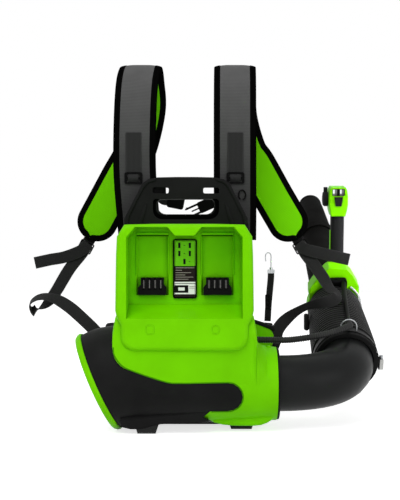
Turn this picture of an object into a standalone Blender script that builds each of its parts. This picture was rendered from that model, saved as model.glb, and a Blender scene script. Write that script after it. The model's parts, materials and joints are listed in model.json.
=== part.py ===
"""Backpack leaf blower: battery housing, fan, harness, elbow, flexible hose and wand.

Metres. +Z is up, +Y points to the wearer and along the wand, +X is the outlet side.
The origin lies on the ground, below the middle of the back plate's front face.
"""
import math

import bmesh
import bpy
from mathutils import Matrix, Vector

# ---------------------------------------------------------------- driving sizes

GAP = 0.0003                  # clearance between pieces that touch
WALL = 0.003                  # moulded housing wall

# battery tower
TOWER_HALF = 0.125
TOWER_TOP = 0.386
TOWER_DEPTH = 0.195
TOWER_FLARE = 0.006           # the lower end is wider by this much each side
BULGE_BOTTOM = 0.157
BULGE_CORNER = 0.026
BULGE_HALF = 0.1155
BULGE_TOP = 0.2157
NECK_DEPTH = 0.093            # front of the housing below the tower, from the fan axis
TOWER_CHAMFER_X = 0.016
TOWER_CHAMFER_Z = 0.022
TOWER_EDGE = 0.009
RECESS_HALF = 0.105
RECESS_DEPTH = 0.065
RECESS_TOP = 0.381
RECESS_RIM = 0.0185           # how far the chamfers and the tongue come down
SHELF_FRONT = 0.2155
SHELF_BACK = 0.2388
TONGUE_HALF = 0.0175
BAY_WIDTH = 0.0545
BAY_OFFSET = TOWER_HALF * 0.484
BAY_DEPTH = 0.005
BAY_TOP = 0.361
BLOCK_LOW = 0.256
BLOCK_TOP = 0.288
BLOCK_SEAT = 0.0006           # how far a terminal block sinks into the bay's floor

# fan barrel
FAN_Y = -0.095
FAN_Z = 0.0865
INTAKE_TILT = 24.0
INTAKE_X = -0.158
INTAKE_Z = 0.092
INTAKE_RADIUS = 0.0945
COLLAR_RADIUS = 0.069
COLLAR_X = 0.172
SEAM = 0.0005
PLATE_TONGUE_END = 0.079
PLATE_TONGUE_TOP = 0.0968
PLATE_TONGUE_HEIGHT = 0.053
TRIM_WIDTH = 0.010
TRIM_DEPTH = 0.012
GRILLE_THICK = 0.0035
GRILLE_SLOT = 0.0032

# fan and motor
DUCT_RADIUS = 0.0505
DUCT_WALL = 0.003
DUCT_START = -0.072
BELL_RADIUS = 0.071
TIP_GAP = 0.0015
BLADES = 9
HUB_RADIUS = 0.0235
IMPELLER_X = -0.030
IMPELLER_LENGTH = 0.034
STATOR_LENGTH = 0.046
VANES = 7
SHAFT_RADIUS = 0.004
MOTOR_RADIUS = 0.0200
MOTOR_WALL = 0.0022
ROTOR_RADIUS = 0.0125
BEARING_WIDTH = 0.005

# back plate and base
PLATE_THICK = 0.016
HANDLE_TOP = 0.4855
HANDLE_HALF = 0.057
SHOULDER_Z = 0.392
PLATE_HALF = 0.125
PLATE_FOOT_HALF = 0.100
OPENING_HALF = 0.066
OPENING_BOTTOM = 0.3995
OPENING_TOP = 0.4415
OPENING_CORNER = 0.020
OPENING_STEP = 0.007          # how deep the wide front part of the opening goes
OPENING_LEDGE = 0.0097        # how much narrower the opening is behind it, each side
SLOT_INNER = 0.0345
SLOT_OUTER = 0.0665
SLOT_BOTTOM = 0.4525
SLOT_TOP = 0.4645
BASE_HEIGHT = 0.024
BASE_BACK = 0.078
TOE_LEFT = (-0.0955, -0.046)
TOE_RIGHT = (0.079, 0.134)
TOE_LEFT_FRONT = -0.152
TOE_RIGHT_FRONT = -0.105
TOE_DRAFT = 0.010
SKIRT_FRONT = 0.065           # crease of the lower shell's skirt, in front of the fan axis

# wand: the flexible hose's middle is the frame that everything on it is built in
HOSE_MIDDLE = (0.3225, 0.1216, 0.1669)
WAND_RISE = 21.0
WAND_YAW = 1.8
HOSE_LENGTH = 0.275
HOSE_RADIUS = 0.0655
HOSE_GROOVE = 0.0025
HOSE_TOP_RADIUS = 0.0590
HOSE_END_RADIUS = 0.0545
HOSE_CUFF = 0.028
HOSE_TAPER = 0.030
HOSE_WALL = 0.0025
HOSE_RIBS = 22
HOSE_SIDES = 24
ELBOW_RADIUS = 0.053
ELBOW_WALL = 0.003
ELBOW_REACH = 0.078
ELBOW_RETURN = 0.062
FLANGE_THICK = 0.0042
CUFF_THICK = 0.0045
BAND_THICK = 0.0011
BAND_WIDTH = 0.012
CLAMP_THICK = 0.004
CLAMP_LENGTH = 0.030
CLAMP_REACH = 0.0125          # how far the clamp grips the hose
TUBE_RADIUS = 0.0435
TUBE_WALL = 0.002
TUBE_LENGTH = 0.340
CONE_LENGTH = 0.045
COLLAR_THICK = 0.0035
COLLAR_LENGTH = 0.038
NOZZLE_LENGTH = 0.300
NOZZLE_TIP_RADIUS = 0.0315
SOCKET_LENGTH = 0.035

# handle, in the frame of its own pivot
HANDLE_X = 0.0095
HANDLE_Y = 0.190
HANDLE_Z = 0.094
HANDLE_LEAN = 13.0
PIVOT_RADIUS = 0.003
EAR_RADIUS = 0.0115
LUG_HALF = 0.006
GRIP_HALF = 0.0153
GRIP_DEPTH = 0.018
GRIP_TOP = 0.0950
HEAD_HALF = 0.0213
HEAD_TOP = 0.160
HEAD_BACK = 0.026
HEAD_FRONT = 0.032
WINDOW_HALF = 0.0140
WINDOW_BOTTOM = 0.1405
WINDOW_TOP = 0.1570
LEVER_RADIUS = 0.017
LEVER_THICK = 0.012

# harness
PAD_WIDTH = 0.088
PAD_THICK = 0.012
BACK_PAD_HALF = 0.140
BACK_PAD_BOTTOM = 0.205
BACK_PAD_TOP = 0.397
BACK_PAD_THICK = 0.026
HIP_PAD_THICK = 0.015
HIP_PAD_TOP = 0.199
HIP_PAD_BOTTOM = 0.135
WEB_WIDTH = 0.025
WEB_THICK = 0.0016
PAD_Y = 0.150                 # middle of the shoulder pads' front run
HOOK_STRAP = 0.0115
HOOK_STRAP_LOW = 0.1928
RING_LIFT = 0.0765            # conduit's height over the hose axis, under the wire ring
CABLE_START = -HOSE_LENGTH / 2 + 0.022
CONDUIT_RADIUS = 0.0055
CONDUIT_Y = -0.060
CONDUIT_Z = 0.166
CABLE_RADIUS = 0.0048
CABLE_X = 0.0185
CABLE_Z = 0.0660

LIME = (0.18, 0.72, 0.0)
LIME_LINING = (0.13, 0.45, 0.0)
BLACK = (0.014, 0.014, 0.015)
DARK_GREY = (0.045, 0.045, 0.048)
STEEL = (0.55, 0.55, 0.56)


# ---------------------------------------------------------------- small helpers

def material(name, colour, roughness, metallic=0.0):
    """A plain Principled material, made once and shared."""
    if name in bpy.data.materials:
        return bpy.data.materials[name]
    made = bpy.data.materials.new(name)
    made.use_nodes = True
    shader = made.node_tree.nodes["Principled BSDF"]
    shader.inputs["Base Color"].default_value = (*colour, 1.0)
    shader.inputs["Roughness"].default_value = roughness
    shader.inputs["Metallic"].default_value = metallic
    return made


def lime_plastic():
    return material("lime_plastic", LIME, 0.35)


def black_plastic():
    return material("black_plastic", BLACK, 0.5)


def grey_plastic():
    return material("grey_plastic", DARK_GREY, 0.5)


def steel():
    return material("steel", STEEL, 0.3, 1.0)


def webbing():
    return material("webbing", BLACK, 0.85)


def padding():
    return material("padding", DARK_GREY, 0.9)


def empty(name, location=(0, 0, 0), rotation=(0, 0, 0), parent=None):
    made = bpy.data.objects.new(name, None)
    made.location = location
    made.rotation_euler = rotation
    made.parent = parent
    bpy.context.scene.collection.objects.link(made)
    return made


def finish(name, bm, finish_material, parent=None, smooth=35.0, hidden=False):
    """Turn a bmesh into an object, with its faces outwards and its round parts smooth."""
    bmesh.ops.remove_doubles(bm, verts=bm.verts, dist=1e-7)
    bmesh.ops.recalc_face_normals(bm, faces=bm.faces)
    mesh = bpy.data.meshes.new(name)
    bm.to_mesh(mesh)
    bm.free()
    if finish_material:
        mesh.materials.append(finish_material)
    mesh.shade_smooth()
    mesh.set_sharp_from_angle(angle=math.radians(smooth))
    made = bpy.data.objects.new(name, mesh)
    made.parent = parent
    bpy.context.scene.collection.objects.link(made)
    if hidden:
        made.hide_render = True
        made.display_type = "WIRE"
    return made


def boolean(target, other, operation="DIFFERENCE"):
    """Cut, join or intersect with a hidden helper solid."""
    other.hide_render = True
    other.display_type = "WIRE"
    step = target.modifiers.new(operation.lower(), "BOOLEAN")
    step.operation = operation
    step.solver = "EXACT"
    step.object = other


def loft(bm, rings, caps=True):
    """Skin a row of rings that all have the same number of points."""
    rows = [[bm.verts.new(point) for point in ring] for ring in rings]
    count = len(rows[0])
    for low, high in zip(rows, rows[1:]):
        for i in range(count):
            j = (i + 1) % count
            bm.faces.new((low[i], low[j], high[j], high[i]))
    if caps:
        bm.faces.new(rows[0])
        bm.faces.new(rows[-1])
    return rows


def pipe(bm, outer, inner):
    """A wall between two skins, open at both ends."""
    out_rows = loft(bm, outer, caps=False)
    in_rows = loft(bm, inner, caps=False)
    for end in (0, -1):
        first, second = out_rows[end], in_rows[end]
        for i in range(len(first)):
            j = (i + 1) % len(first)
            bm.faces.new((first[i], first[j], second[j], second[i]))


def prism(bm, outline, axis, start, end):
    """Extrude an outline along X, Y or Z."""
    def place(u, v, w):
        return {"X": (w, u, v), "Y": (u, w, v), "Z": (u, v, w)}[axis]
    face = bm.faces.new([bm.verts.new(place(u, v, start)) for u, v in outline])
    grown = bmesh.ops.extrude_face_region(bm, geom=[face])
    moved = [item for item in grown["geom"] if isinstance(item, bmesh.types.BMVert)]
    shift = Vector(place(0, 0, end)) - Vector(place(0, 0, start))
    bmesh.ops.translate(bm, verts=moved, vec=shift)


def box(bm, low, high):
    outline = [(low[0], low[1]), (high[0], low[1]), (high[0], high[1]), (low[0], high[1])]
    prism(bm, outline, "Z", low[2], high[2])


def turned(bm, profile, sides=32, axis="Y", centre=(0, 0, 0)):
    """Turn a closed profile of (radius, along) points round an axis."""
    turn = {
        "X": lambda r, s, a: (s, r * math.cos(a), r * math.sin(a)),
        "Y": lambda r, s, a: (r * math.cos(a), s, r * math.sin(a)),
        "Z": lambda r, s, a: (r * math.cos(a), r * math.sin(a), s),
    }[axis]
    middle = Vector(centre)
    rows = []
    for k in range(sides):
        angle = 2 * math.pi * k / sides
        rows.append([bm.verts.new(middle + Vector(turn(r, s, angle))) for r, s in profile])
    for k in range(sides):
        row, following = rows[k], rows[(k + 1) % sides]
        for i in range(len(profile)):
            j = (i + 1) % len(profile)
            on_axis = profile[i][0] < 1e-9 and profile[j][0] < 1e-9
            if not on_axis:
                bm.faces.new((row[i], row[j], following[j], following[i]))
    bmesh.ops.remove_doubles(bm, verts=bm.verts, dist=1e-7)
    bmesh.ops.dissolve_degenerate(bm, edges=bm.edges, dist=1e-8)


def ring_profile(inner, outer, start, end, chamfer=0.0):
    """A ring's section, with chamfered outer corners."""
    if chamfer <= 0:
        return [(inner, start), (outer, start), (outer, end), (inner, end)]
    return [
        (inner, start), (outer - chamfer, start), (outer, start + chamfer),
        (outer, end - chamfer), (outer - chamfer, end), (inner, end),
    ]


def rounded_box(low, high, corner, steps=3):
    """The outline of a rectangle with round corners."""
    points = []
    centres = [
        (high[0] - corner, high[1] - corner, 0), (low[0] + corner, high[1] - corner, 90),
        (low[0] + corner, low[1] + corner, 180), (high[0] - corner, low[1] + corner, 270),
    ]
    for x, z, begin in centres:
        for k in range(steps + 1):
            angle = math.radians(begin + 90 * k / steps)
            points.append((x + corner * math.cos(angle), z + corner * math.sin(angle)))
    return points


def smooth_line(points, per_span):
    """Points of a Catmull-Rom curve through the given ones, of any dimension."""
    points = [Vector(p) for p in points]
    first = 2 * points[0] - points[1]
    last = 2 * points[-1] - points[-2]
    full = [first] + points + [last]
    line = []
    for i in range(1, len(full) - 2):
        a, b, c, d = full[i - 1:i + 3]
        for k in range(per_span):
            t = k / per_span
            line.append(0.5 * (2 * b + (c - a) * t + (2 * a - 5 * b + 4 * c - d) * t * t
                               + (3 * b - a - 3 * c + d) * t ** 3))
    line.append(points[-1])
    return line


def even_line(points, spacing):
    """The smooth line through the points, read again at an even spacing."""
    fine = smooth_line(points, 40)
    lengths = [0.0]
    for a, b in zip(fine, fine[1:]):
        lengths.append(lengths[-1] + (b - a).length)
    count = max(2, round(lengths[-1] / spacing))
    line, k = [], 0
    for i in range(count + 1):
        wanted = lengths[-1] * i / count
        while k < len(lengths) - 2 and lengths[k + 1] < wanted:
            k += 1
        share = (wanted - lengths[k]) / max(lengths[k + 1] - lengths[k], 1e-12)
        line.append(fine[k].lerp(fine[k + 1], min(max(share, 0.0), 1.0)))
    return line


def arc(cx, cz, radius, begin, end, steps):
    points = []
    for k in range(steps + 1):
        angle = math.radians(begin + (end - begin) * k / steps)
        points.append((cx + radius * math.cos(angle), cz + radius * math.sin(angle)))
    return points


def ribbon(name, points, looks, width, thick, mat, parent=None, spacing=0.012):
    """A flat band along a line; looks gives the way its face points, evenly from end to end."""
    line = even_line(points, spacing)
    faces = smooth_line(looks, 12)
    rings = []
    for i, point in enumerate(line):
        share = i / (len(line) - 1)
        along = (line[min(i + 1, len(line) - 1)] - line[max(i - 1, 0)]).normalized()
        look = faces[round(share * (len(faces) - 1))]
        side = along.cross(look).normalized()
        up = side.cross(along).normalized()
        half = width / 2
        rings.append([
            point + side * half + up * thick / 2, point - side * half + up * thick / 2,
            point - side * half - up * thick / 2, point + side * half - up * thick / 2,
        ])
    bm = bmesh.new()
    loft(bm, rings)
    return finish(name, bm, mat, parent)


def cord(name, points, radius, mat, parent=None):
    """A tube along a smooth line, as a curve with round filled ends."""
    line = even_line(points, radius * 4.5)
    curve = bpy.data.curves.new(name, "CURVE")
    curve.dimensions = "3D"
    curve.bevel_depth = radius
    curve.bevel_resolution = 2
    curve.use_fill_caps = True
    curve.resolution_u = 1
    spline = curve.splines.new("POLY")
    spline.points.add(len(line) - 1)
    for target, point in zip(spline.points, line):
        target.co = (*point, 1.0)
    curve.materials.append(mat)
    made = bpy.data.objects.new(name, curve)
    made.parent = parent
    bpy.context.scene.collection.objects.link(made)
    return made


# ---------------------------------------------------------------- fan barrel

def barrel_stations():
    """Centre x and z, tilt, half depth and half height of the barrel's sections."""
    return [
        (INTAKE_X, INTAKE_Z, INTAKE_TILT, INTAKE_RADIUS, INTAKE_RADIUS),
        (-0.136, 0.0995, 17.0, INTAKE_RADIUS, 0.0965),
        (-0.100, 0.1045, 9.0, INTAKE_RADIUS, 0.0942),
        (-0.055, 0.1040, 3.0, 0.0932, 0.0925),
        (0.0, 0.1005, 0.0, 0.0900, 0.0875),
        (0.060, 0.0950, 0.0, 0.0840, 0.0815),
        (0.115, 0.0905, 0.0, 0.0765, 0.0755),
        (0.150, FAN_Z + 0.001, 0.0, COLLAR_RADIUS + 0.002, COLLAR_RADIUS + 0.002),
        (COLLAR_X, FAN_Z, 0.0, COLLAR_RADIUS, COLLAR_RADIUS),
    ]


def barrel_rings(grow, first=0.0, last=0.0, sides=36, per_span=2):
    """Rings of the barrel, grown outwards, its ends moved along X by first and last."""
    stations = [list(s) for s in barrel_stations()]
    tilt = math.radians(INTAKE_TILT)
    stations[0][0] += first * math.cos(tilt)
    stations[0][1] += first * math.sin(tilt)
    stations[-1][0] += last
    rings = []
    for x, z, tilted, deep, high in smooth_line(stations, per_span):
        lean = math.radians(tilted)
        up = Vector((-math.sin(lean), 0, math.cos(lean)))
        ring = []
        for k in range(sides):
            angle = 2 * math.pi * k / sides
            ring.append(Vector((x, FAN_Y, z)) + up * (high + grow) * math.sin(angle)
                        + Vector((0, (deep + grow) * math.cos(angle), 0)))
        rings.append(ring)
    return rings


def barrel_solid(name, grow, first=0.0, last=0.0, per_span=1):
    bm = bmesh.new()
    loft(bm, barrel_rings(grow, first, last, per_span=per_span))
    return finish(name, bm, None, hidden=True)


def seam_outline(grow):
    """The black shell's outline from the front, moved outwards by grow."""
    top = PLATE_TONGUE_TOP + grow
    low = PLATE_TONGUE_TOP - PLATE_TONGUE_HEIGHT - grow
    radius = (top - low) / 2
    side = -TOWER_HALF - TOWER_FLARE + grow
    curve = smooth_line([(side, 0.188), (side + 0.0012, 0.152), (side + 0.0146, 0.1298 + grow),
                         (-0.0934, 0.1190 + grow), (-0.0348, 0.0995 + grow), (-0.008, top)], 3)
    points = [(-0.26, -0.02), (-0.26, 0.26), (side, 0.26)]
    points += [(p[0], p[1]) for p in curve]
    points += arc(PLATE_TONGUE_END, (top + low) / 2, radius, 90, -90, 8)
    points += [(0.046 + grow, low), (0.0335 + 2 * grow, 0.0315), (0.047 + grow, 0.0225 + grow / 2),
               (0.078 + grow * 1.3, -0.02)]
    return points


def seam_solid(name, grow):
    bm = bmesh.new()
    prism(bm, seam_outline(grow), "Y", FAN_Y - 0.2, FAN_Y + 0.2)
    return finish(name, bm, None, hidden=True)


def recess_outline():
    """The battery recess from the front: chamfered corners and a tongue in the middle."""
    rim = RECESS_TOP - RECESS_RIM
    inner = TONGUE_HALF + 0.0135
    right = [
        (RECESS_HALF, SHELF_FRONT - 0.03), (RECESS_HALF, rim),
        (RECESS_HALF - 0.0155, RECESS_TOP), (inner, RECESS_TOP), (TONGUE_HALF, rim + 0.003),
    ]
    return right + [(-x, z) for x, z in reversed(right)]


def tower_outline(grow=0.0):
    """The tower from the front: flared foot, round lower corners, chamfered shoulders."""
    panel = BULGE_HALF + grow
    half = TOWER_HALF + grow
    top = TOWER_TOP + grow
    low = BULGE_BOTTOM - grow
    corner = BULGE_CORNER + grow
    right = arc(panel - corner, low + corner, corner, -90, 0, 5)
    right += [
        (panel, BULGE_TOP - 0.012), (half - 0.002, BULGE_TOP + 0.002), (half + 0.0005, 0.230),
        (half, 0.26), (half - 0.001, 0.330),
        (half - 0.0025, top - TOWER_CHAMFER_Z), (half - TOWER_CHAMFER_X, top - 0.0005),
        (0.055, top + 0.0008),
    ]
    return right + [(-x, z) for x, z in reversed(right)]


def between(x, table):
    """Straight-line reading of a table whose rows start with x."""
    for low, high in zip(table, table[1:]):
        if x <= high[0]:
            share = (x - low[0]) / (high[0] - low[0])
            return [a + (b - a) * share for a, b in zip(low, high)]
    return list(table[-1])


def neck_solid():
    """The housing's lower body: boxy under the tower, blending into the barrel and its collar."""
    foot = TOWER_HALF + TOWER_FLARE
    tops = [(-foot, 0.197), (-foot + 0.0045, 0.219), (-foot + 0.010, 0.2235), (-0.06, 0.2235), (0.0, 0.2235),
            (0.06, 0.2235), (foot - 0.010, 0.2235), (foot - 0.0045, 0.219), (foot, 0.197),
            (foot + 0.0010, 0.182), (foot + 0.0030, 0.171), (foot + 0.0075, 0.1635), (foot + 0.0130, 0.1600),
            (COLLAR_X - 0.020, FAN_Z + COLLAR_RADIUS + 0.0015)]
    rings = []
    steps = 14
    for x, top in tops:
        _, _, middle, deep = between(max(x, INTAKE_X), [(s[0], 0, s[1], s[3]) for s in barrel_stations()])
        blend = min(max((x - foot) / (COLLAR_X - 0.020 - foot), 0.0), 1.0)
        power = 0.22 + 0.78 * blend ** 0.7
        ring = []
        for k in range(steps + 1):
            angle = math.pi * k / steps
            c, s = math.cos(angle), math.sin(angle)
            rise = abs(s) ** power
            z = middle + (top - middle) * rise
            front = deep - 0.0008 + (NECK_DEPTH - deep) * (1 - blend) * min(rise * 1.6, 1.0)
            back = min(deep, -FAN_Y - GAP) - 0.0008
            reach = front if c > 0 else back
            ring.append(Vector((x, FAN_Y - reach * math.copysign(abs(c) ** power, c), z)))
        ring += [Vector((x, FAN_Y + deep * 0.55, middle - 0.035)), Vector((x, FAN_Y - deep * 0.55, middle - 0.035))]
        rings.append(ring)
    bm = bmesh.new()
    loft(bm, rings)
    return finish("neck", bm, None, hidden=True)


def main_housing():
    """Green tower and barrel as one hollow moulding."""
    front = -TOWER_DEPTH
    bm = bmesh.new()
    prism(bm, tower_outline(), "Y", front, -GAP)
    bm.faces.ensure_lookup_table()
    edges = [e for e in bm.edges if all(abs(v.co.y - front) < 1e-6 for v in e.verts)]
    bmesh.ops.bevel(bm, geom=edges, offset=TOWER_EDGE, segments=3, profile=0.5, affect="EDGES")
    housing = finish("main_housing", bm, lime_plastic())
    boolean(housing, neck_solid(), "UNION")
    boolean(housing, barrel_solid("barrel_outside", 0.0, per_span=2), "UNION")
    boolean(housing, barrel_solid("barrel_inside", -WALL, first=-0.03, last=-WALL - 0.001))

    wall_y = front + RECESS_DEPTH
    inside = wall_y + BAY_DEPTH + WALL
    slope = SHELF_BACK - SHELF_FRONT
    floor = BLOCK_LOW - 2 * GAP
    bm = bmesh.new()
    prism(bm, [(front, SHELF_BACK + 0.5), (front - 0.02, SHELF_BACK + 0.5),
               (front - 0.02, SHELF_FRONT - slope * 0.02 / RECESS_DEPTH), (wall_y, SHELF_BACK),
               (wall_y, SHELF_BACK + 0.5)], "X", -0.3, 0.3)
    depth = finish("recess_side", bm, None, hidden=True)
    bm = bmesh.new()
    prism(bm, recess_outline(), "Y", front - 0.02, wall_y)
    recess = finish("recess", bm, None, hidden=True)
    boolean(recess, depth, "INTERSECT")
    boolean(housing, recess)

    for side in (-1, 1):
        bm = bmesh.new()
        middle = side * BAY_OFFSET
        rings = []
        for y, wide, high in ((-0.002, 0.0035, 0.0118), (0.0, 0.0028, 0.0100), (BAY_DEPTH, 0.0, 0.0)):
            rings.append([Vector((middle + u * (BAY_WIDTH / 2 + wide), wall_y + y, z)) for u, z in
                          ((-1, floor), (1, floor), (1, BAY_TOP + high), (-1, BAY_TOP + high))])
        loft(bm, rings)
        boolean(housing, finish("bay_cut_%d" % side, bm, None, hidden=True))
        bm = bmesh.new()
        seat = BAY_WIDTH / 2 + 0.0004
        box(bm, (middle - seat, wall_y + BAY_DEPTH - 0.001, BLOCK_LOW - GAP),
            (middle + seat, wall_y + BAY_DEPTH + BLOCK_SEAT, BLOCK_TOP + GAP))
        boolean(housing, finish("block_seat_%d" % side, bm, None, hidden=True))

    bm = bmesh.new()
    under = WALL + 0.0015
    prism(bm, [
        (front + WALL + 0.001, BULGE_BOTTOM + WALL + 0.001),
        (front + WALL + 0.001, SHELF_FRONT - under), (wall_y, SHELF_BACK - under),
        (inside, SHELF_BACK - under), (inside, TOWER_TOP - under), (-under, TOWER_TOP - under),
        (-under, BULGE_BOTTOM + under), (FAN_Y + 0.070, BULGE_BOTTOM + under),
        (FAN_Y + 0.050, 0.125), (FAN_Y - 0.050, 0.125), (FAN_Y - 0.072, BULGE_BOTTOM + under),
    ], "X", -0.3, 0.3)
    hollow = finish("tower_hollow", bm, None, hidden=True)
    bm = bmesh.new()
    slim = BULGE_HALF - WALL - 0.0005
    wide = TOWER_HALF - 0.008
    corner = BULGE_CORNER - WALL - 0.0005
    right = [(slim - corner, 0.12)]
    right += arc(slim - corner, BULGE_BOTTOM + WALL + 0.0004 + corner, corner, -90, 0, 4)
    right += [(slim, BULGE_TOP - 0.012), (wide, BULGE_TOP + 0.008)]
    right += arc(wide - 0.014, TOWER_TOP - under - 0.014, 0.014, 0, 90, 3)
    prism(bm, right + [(-x, z) for x, z in reversed(right)], "Y", -0.3, 0.3)
    boolean(hollow, finish("tower_hollow_width", bm, None, hidden=True), "INTERSECT")
    boolean(housing, hollow)
    boolean(housing, seam_solid("seam_cut", SEAM))

    bm = bmesh.new()
    hole = DUCT_RADIUS + DUCT_WALL + GAP
    turned(bm, [(0, 0.14), (hole, 0.14), (hole, COLLAR_X + 0.02), (0, COLLAR_X + 0.02)],
           40, "X", (0, FAN_Y, FAN_Z))
    boolean(housing, finish("outlet_hole", bm, None, hidden=True))
    bm = bmesh.new()
    turned(bm, [(0, -0.003), (CONDUIT_RADIUS + 2 * GAP, -0.003), (CONDUIT_RADIUS + 2 * GAP, 0.03),
                (0, 0.03)], 16, "X", (TOWER_HALF, CONDUIT_Y, CONDUIT_Z))
    boolean(housing, finish("conduit_hole", bm, None, hidden=True))
    return housing


def skirt_solid(name, grow):
    """The creased skirt along the bottom of the black shell, grown outwards by grow."""
    stations = [(-0.118 - grow, 0.0265, 0.0130), (-0.100, 0.0275, 0.0088), (-0.078, 0.0290, 0.0088),
                (-0.045, 0.0325, 0.0180), (0.0, 0.0370, 0.0205), (0.044 + grow, 0.0415, 0.0225)]
    front = FAN_Y - SKIRT_FRONT - grow
    back = FAN_Y + 0.035 + grow
    rings = []
    for x, crease, low in stations:
        rings.append([Vector((x, y, z)) for y, z in (
            (front, crease), (front + 0.009, low - grow), (back, low - grow), (back, 0.040),
            (FAN_Y, 0.055), (FAN_Y - 0.045, crease + 0.030))])
    bm = bmesh.new()
    loft(bm, rings)
    return finish(name, bm, None, hidden=True)


def lower_shell():
    """Black lower and left shell of the barrel, with the long tongue."""
    bm = bmesh.new()
    loft(bm, barrel_rings(0.0))
    shell = finish("lower_shell", bm, black_plastic())
    boolean(shell, skirt_solid("skirt", 0.0), "UNION")
    boolean(shell, barrel_solid("lower_inside", -WALL, first=-0.03, last=0.03))
    boolean(shell, seam_solid("seam_keep", 0.0), "INTERSECT")
    return shell


def intake(parent):
    """Green trim ring and slotted grille on the tilted end, in the intake's own frame."""
    bm = bmesh.new()
    outer = INTAKE_RADIUS + 0.0035
    inner = outer - TRIM_WIDTH
    turned(bm, [(inner, GAP), (outer - 0.0015, GAP), (outer, 0.003), (outer - 0.001, TRIM_DEPTH - 0.004),
                (outer - 0.004, TRIM_DEPTH), (inner + 0.002, TRIM_DEPTH - 0.001), (inner, TRIM_DEPTH - 0.004)],
           36, "Z")
    finish("intake_trim", bm, lime_plastic(), parent)

    edge = inner - GAP
    bm = bmesh.new()
    turned(bm, [(0, 0.0052), (0.030, 0.005), (edge, 0.001), (edge, 0.001 + GRILLE_THICK),
                (0.030, 0.005 + GRILLE_THICK), (0, 0.0052 + GRILLE_THICK)], 36, "Z")
    grille = finish("intake_grille", bm, black_plastic(), parent)
    bm = bmesh.new()
    zones = [(0.024, 0.048, 12), (0.053, 0.079, 24)]
    for inside, outside, count in zones:
        for k in range(count):
            turn = Matrix.Rotation(2 * math.pi * k / count, 4, "Z")
            start = len(bm.verts)
            box(bm, (inside, -GRILLE_SLOT / 2, -0.01), (outside, GRILLE_SLOT / 2, 0.02))
            bm.verts.ensure_lookup_table()
            for vert in bm.verts[start:]:
                vert.co = turn @ vert.co
    boolean(grille, finish("grille_slots", bm, None, parent, hidden=True))


def fan_parts(fan_frame):
    """Duct, impeller, stator and motor on the barrel's air path."""
    centre = (0, FAN_Y, FAN_Z)
    outer = DUCT_RADIUS + DUCT_WALL
    bm = bmesh.new()
    turned(bm, [(DUCT_RADIUS, COLLAR_X), (outer, COLLAR_X), (outer, DUCT_START + 0.020),
                (outer + 0.006, DUCT_START + 0.008), (BELL_RADIUS, DUCT_START - 0.004),
                (BELL_RADIUS - 0.002, DUCT_START - 0.006), (outer + 0.003, DUCT_START + 0.005),
                (DUCT_RADIUS, DUCT_START + 0.018)], 28, "X", centre)
    finish("fan_duct", bm, black_plastic())

    start = IMPELLER_X + IMPELLER_LENGTH + 0.002
    stop = start + STATOR_LENGTH
    bore = MOTOR_RADIUS + GAP
    bm = bmesh.new()
    turned(bm, ring_profile(bore, HUB_RADIUS, start, stop), 24, "X", centre)
    stator = finish("stator", bm, black_plastic())
    bm = bmesh.new()
    turned(bm, ring_profile(DUCT_RADIUS - 0.0028, DUCT_RADIUS - 2 * GAP, start, stop), 32, "X", centre)
    boolean(stator, finish("stator_ring", bm, None, hidden=True), "UNION")
    bm = bmesh.new()
    blade_set(bm, VANES, start + 0.004, stop - 0.004, HUB_RADIUS - 0.001, DUCT_RADIUS - 0.0015,
              0.0024, -26, -10, 3)
    boolean(stator, finish("stator_vanes", bm, None, hidden=True), "UNION")

    bm = bmesh.new()
    inner = MOTOR_RADIUS - MOTOR_WALL
    seat = SHAFT_RADIUS + 2 * GAP
    back = stop - 0.002
    turned(bm, [(seat, start), (MOTOR_RADIUS, start), (MOTOR_RADIUS, back), (seat, back),
                (seat, back - BEARING_WIDTH), (inner, back - BEARING_WIDTH),
                (inner, start + BEARING_WIDTH), (seat, start + BEARING_WIDTH)], 20, "X", centre)
    finish("motor_case", bm, steel())
    bm = bmesh.new()
    first, last = start + BEARING_WIDTH + 0.002, back - BEARING_WIDTH - 0.002
    tip = IMPELLER_X + 0.004
    turned(bm, [(0, tip), (SHAFT_RADIUS, tip), (SHAFT_RADIUS, first), (ROTOR_RADIUS, first),
                (ROTOR_RADIUS, last), (SHAFT_RADIUS, last), (SHAFT_RADIUS, back + 0.0015),
                (0, back + 0.0015)], 20, "X", Vector(centre) - fan_frame.location)
    finish("motor_rotor", bm, steel(), fan_frame)
    bm = bmesh.new()
    turned(bm, [(0, stop + 0.040), (0.006, stop + 0.038), (0.016, stop + 0.020),
                (HUB_RADIUS, stop + GAP), (HUB_RADIUS - 0.003, stop + GAP), (0.012, stop + 0.018),
                (0, stop + 0.034)], 24, "X", centre)
    finish("tail_cone", bm, black_plastic())
    impeller(fan_frame)


def blade_set(bm, count, start, stop, root, tip, thick, root_angle, tip_angle, steps=4):
    """Twisted blades round the X axis, each lofted from its root to its tip."""
    for k in range(count):
        turn = Matrix.Rotation(2 * math.pi * k / count, 4, "X")
        rings = []
        for i in range(steps):
            share = i / (steps - 1)
            radius = root + (tip - root) * share
            lean = math.radians(root_angle + (tip_angle - root_angle) * share)
            half = (stop - start) / 2 / max(math.cos(lean), 0.4)
            ring = []
            for u, w in ((-1, 0), (-0.4, 1), (1, 0.3), (1, -0.3), (-0.4, -0.8)):
                along = u * half * math.cos(lean) - w * thick / 2 * math.sin(lean)
                across = u * half * math.sin(lean) + w * thick / 2 * math.cos(lean)
                spread = across / radius
                point = Vector(((start + stop) / 2 + along, radius * math.sin(spread),
                                radius * math.cos(spread)))
                ring.append(turn @ point + Vector((0, FAN_Y, FAN_Z)))
            rings.append(ring)
        loft(bm, rings)


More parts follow.
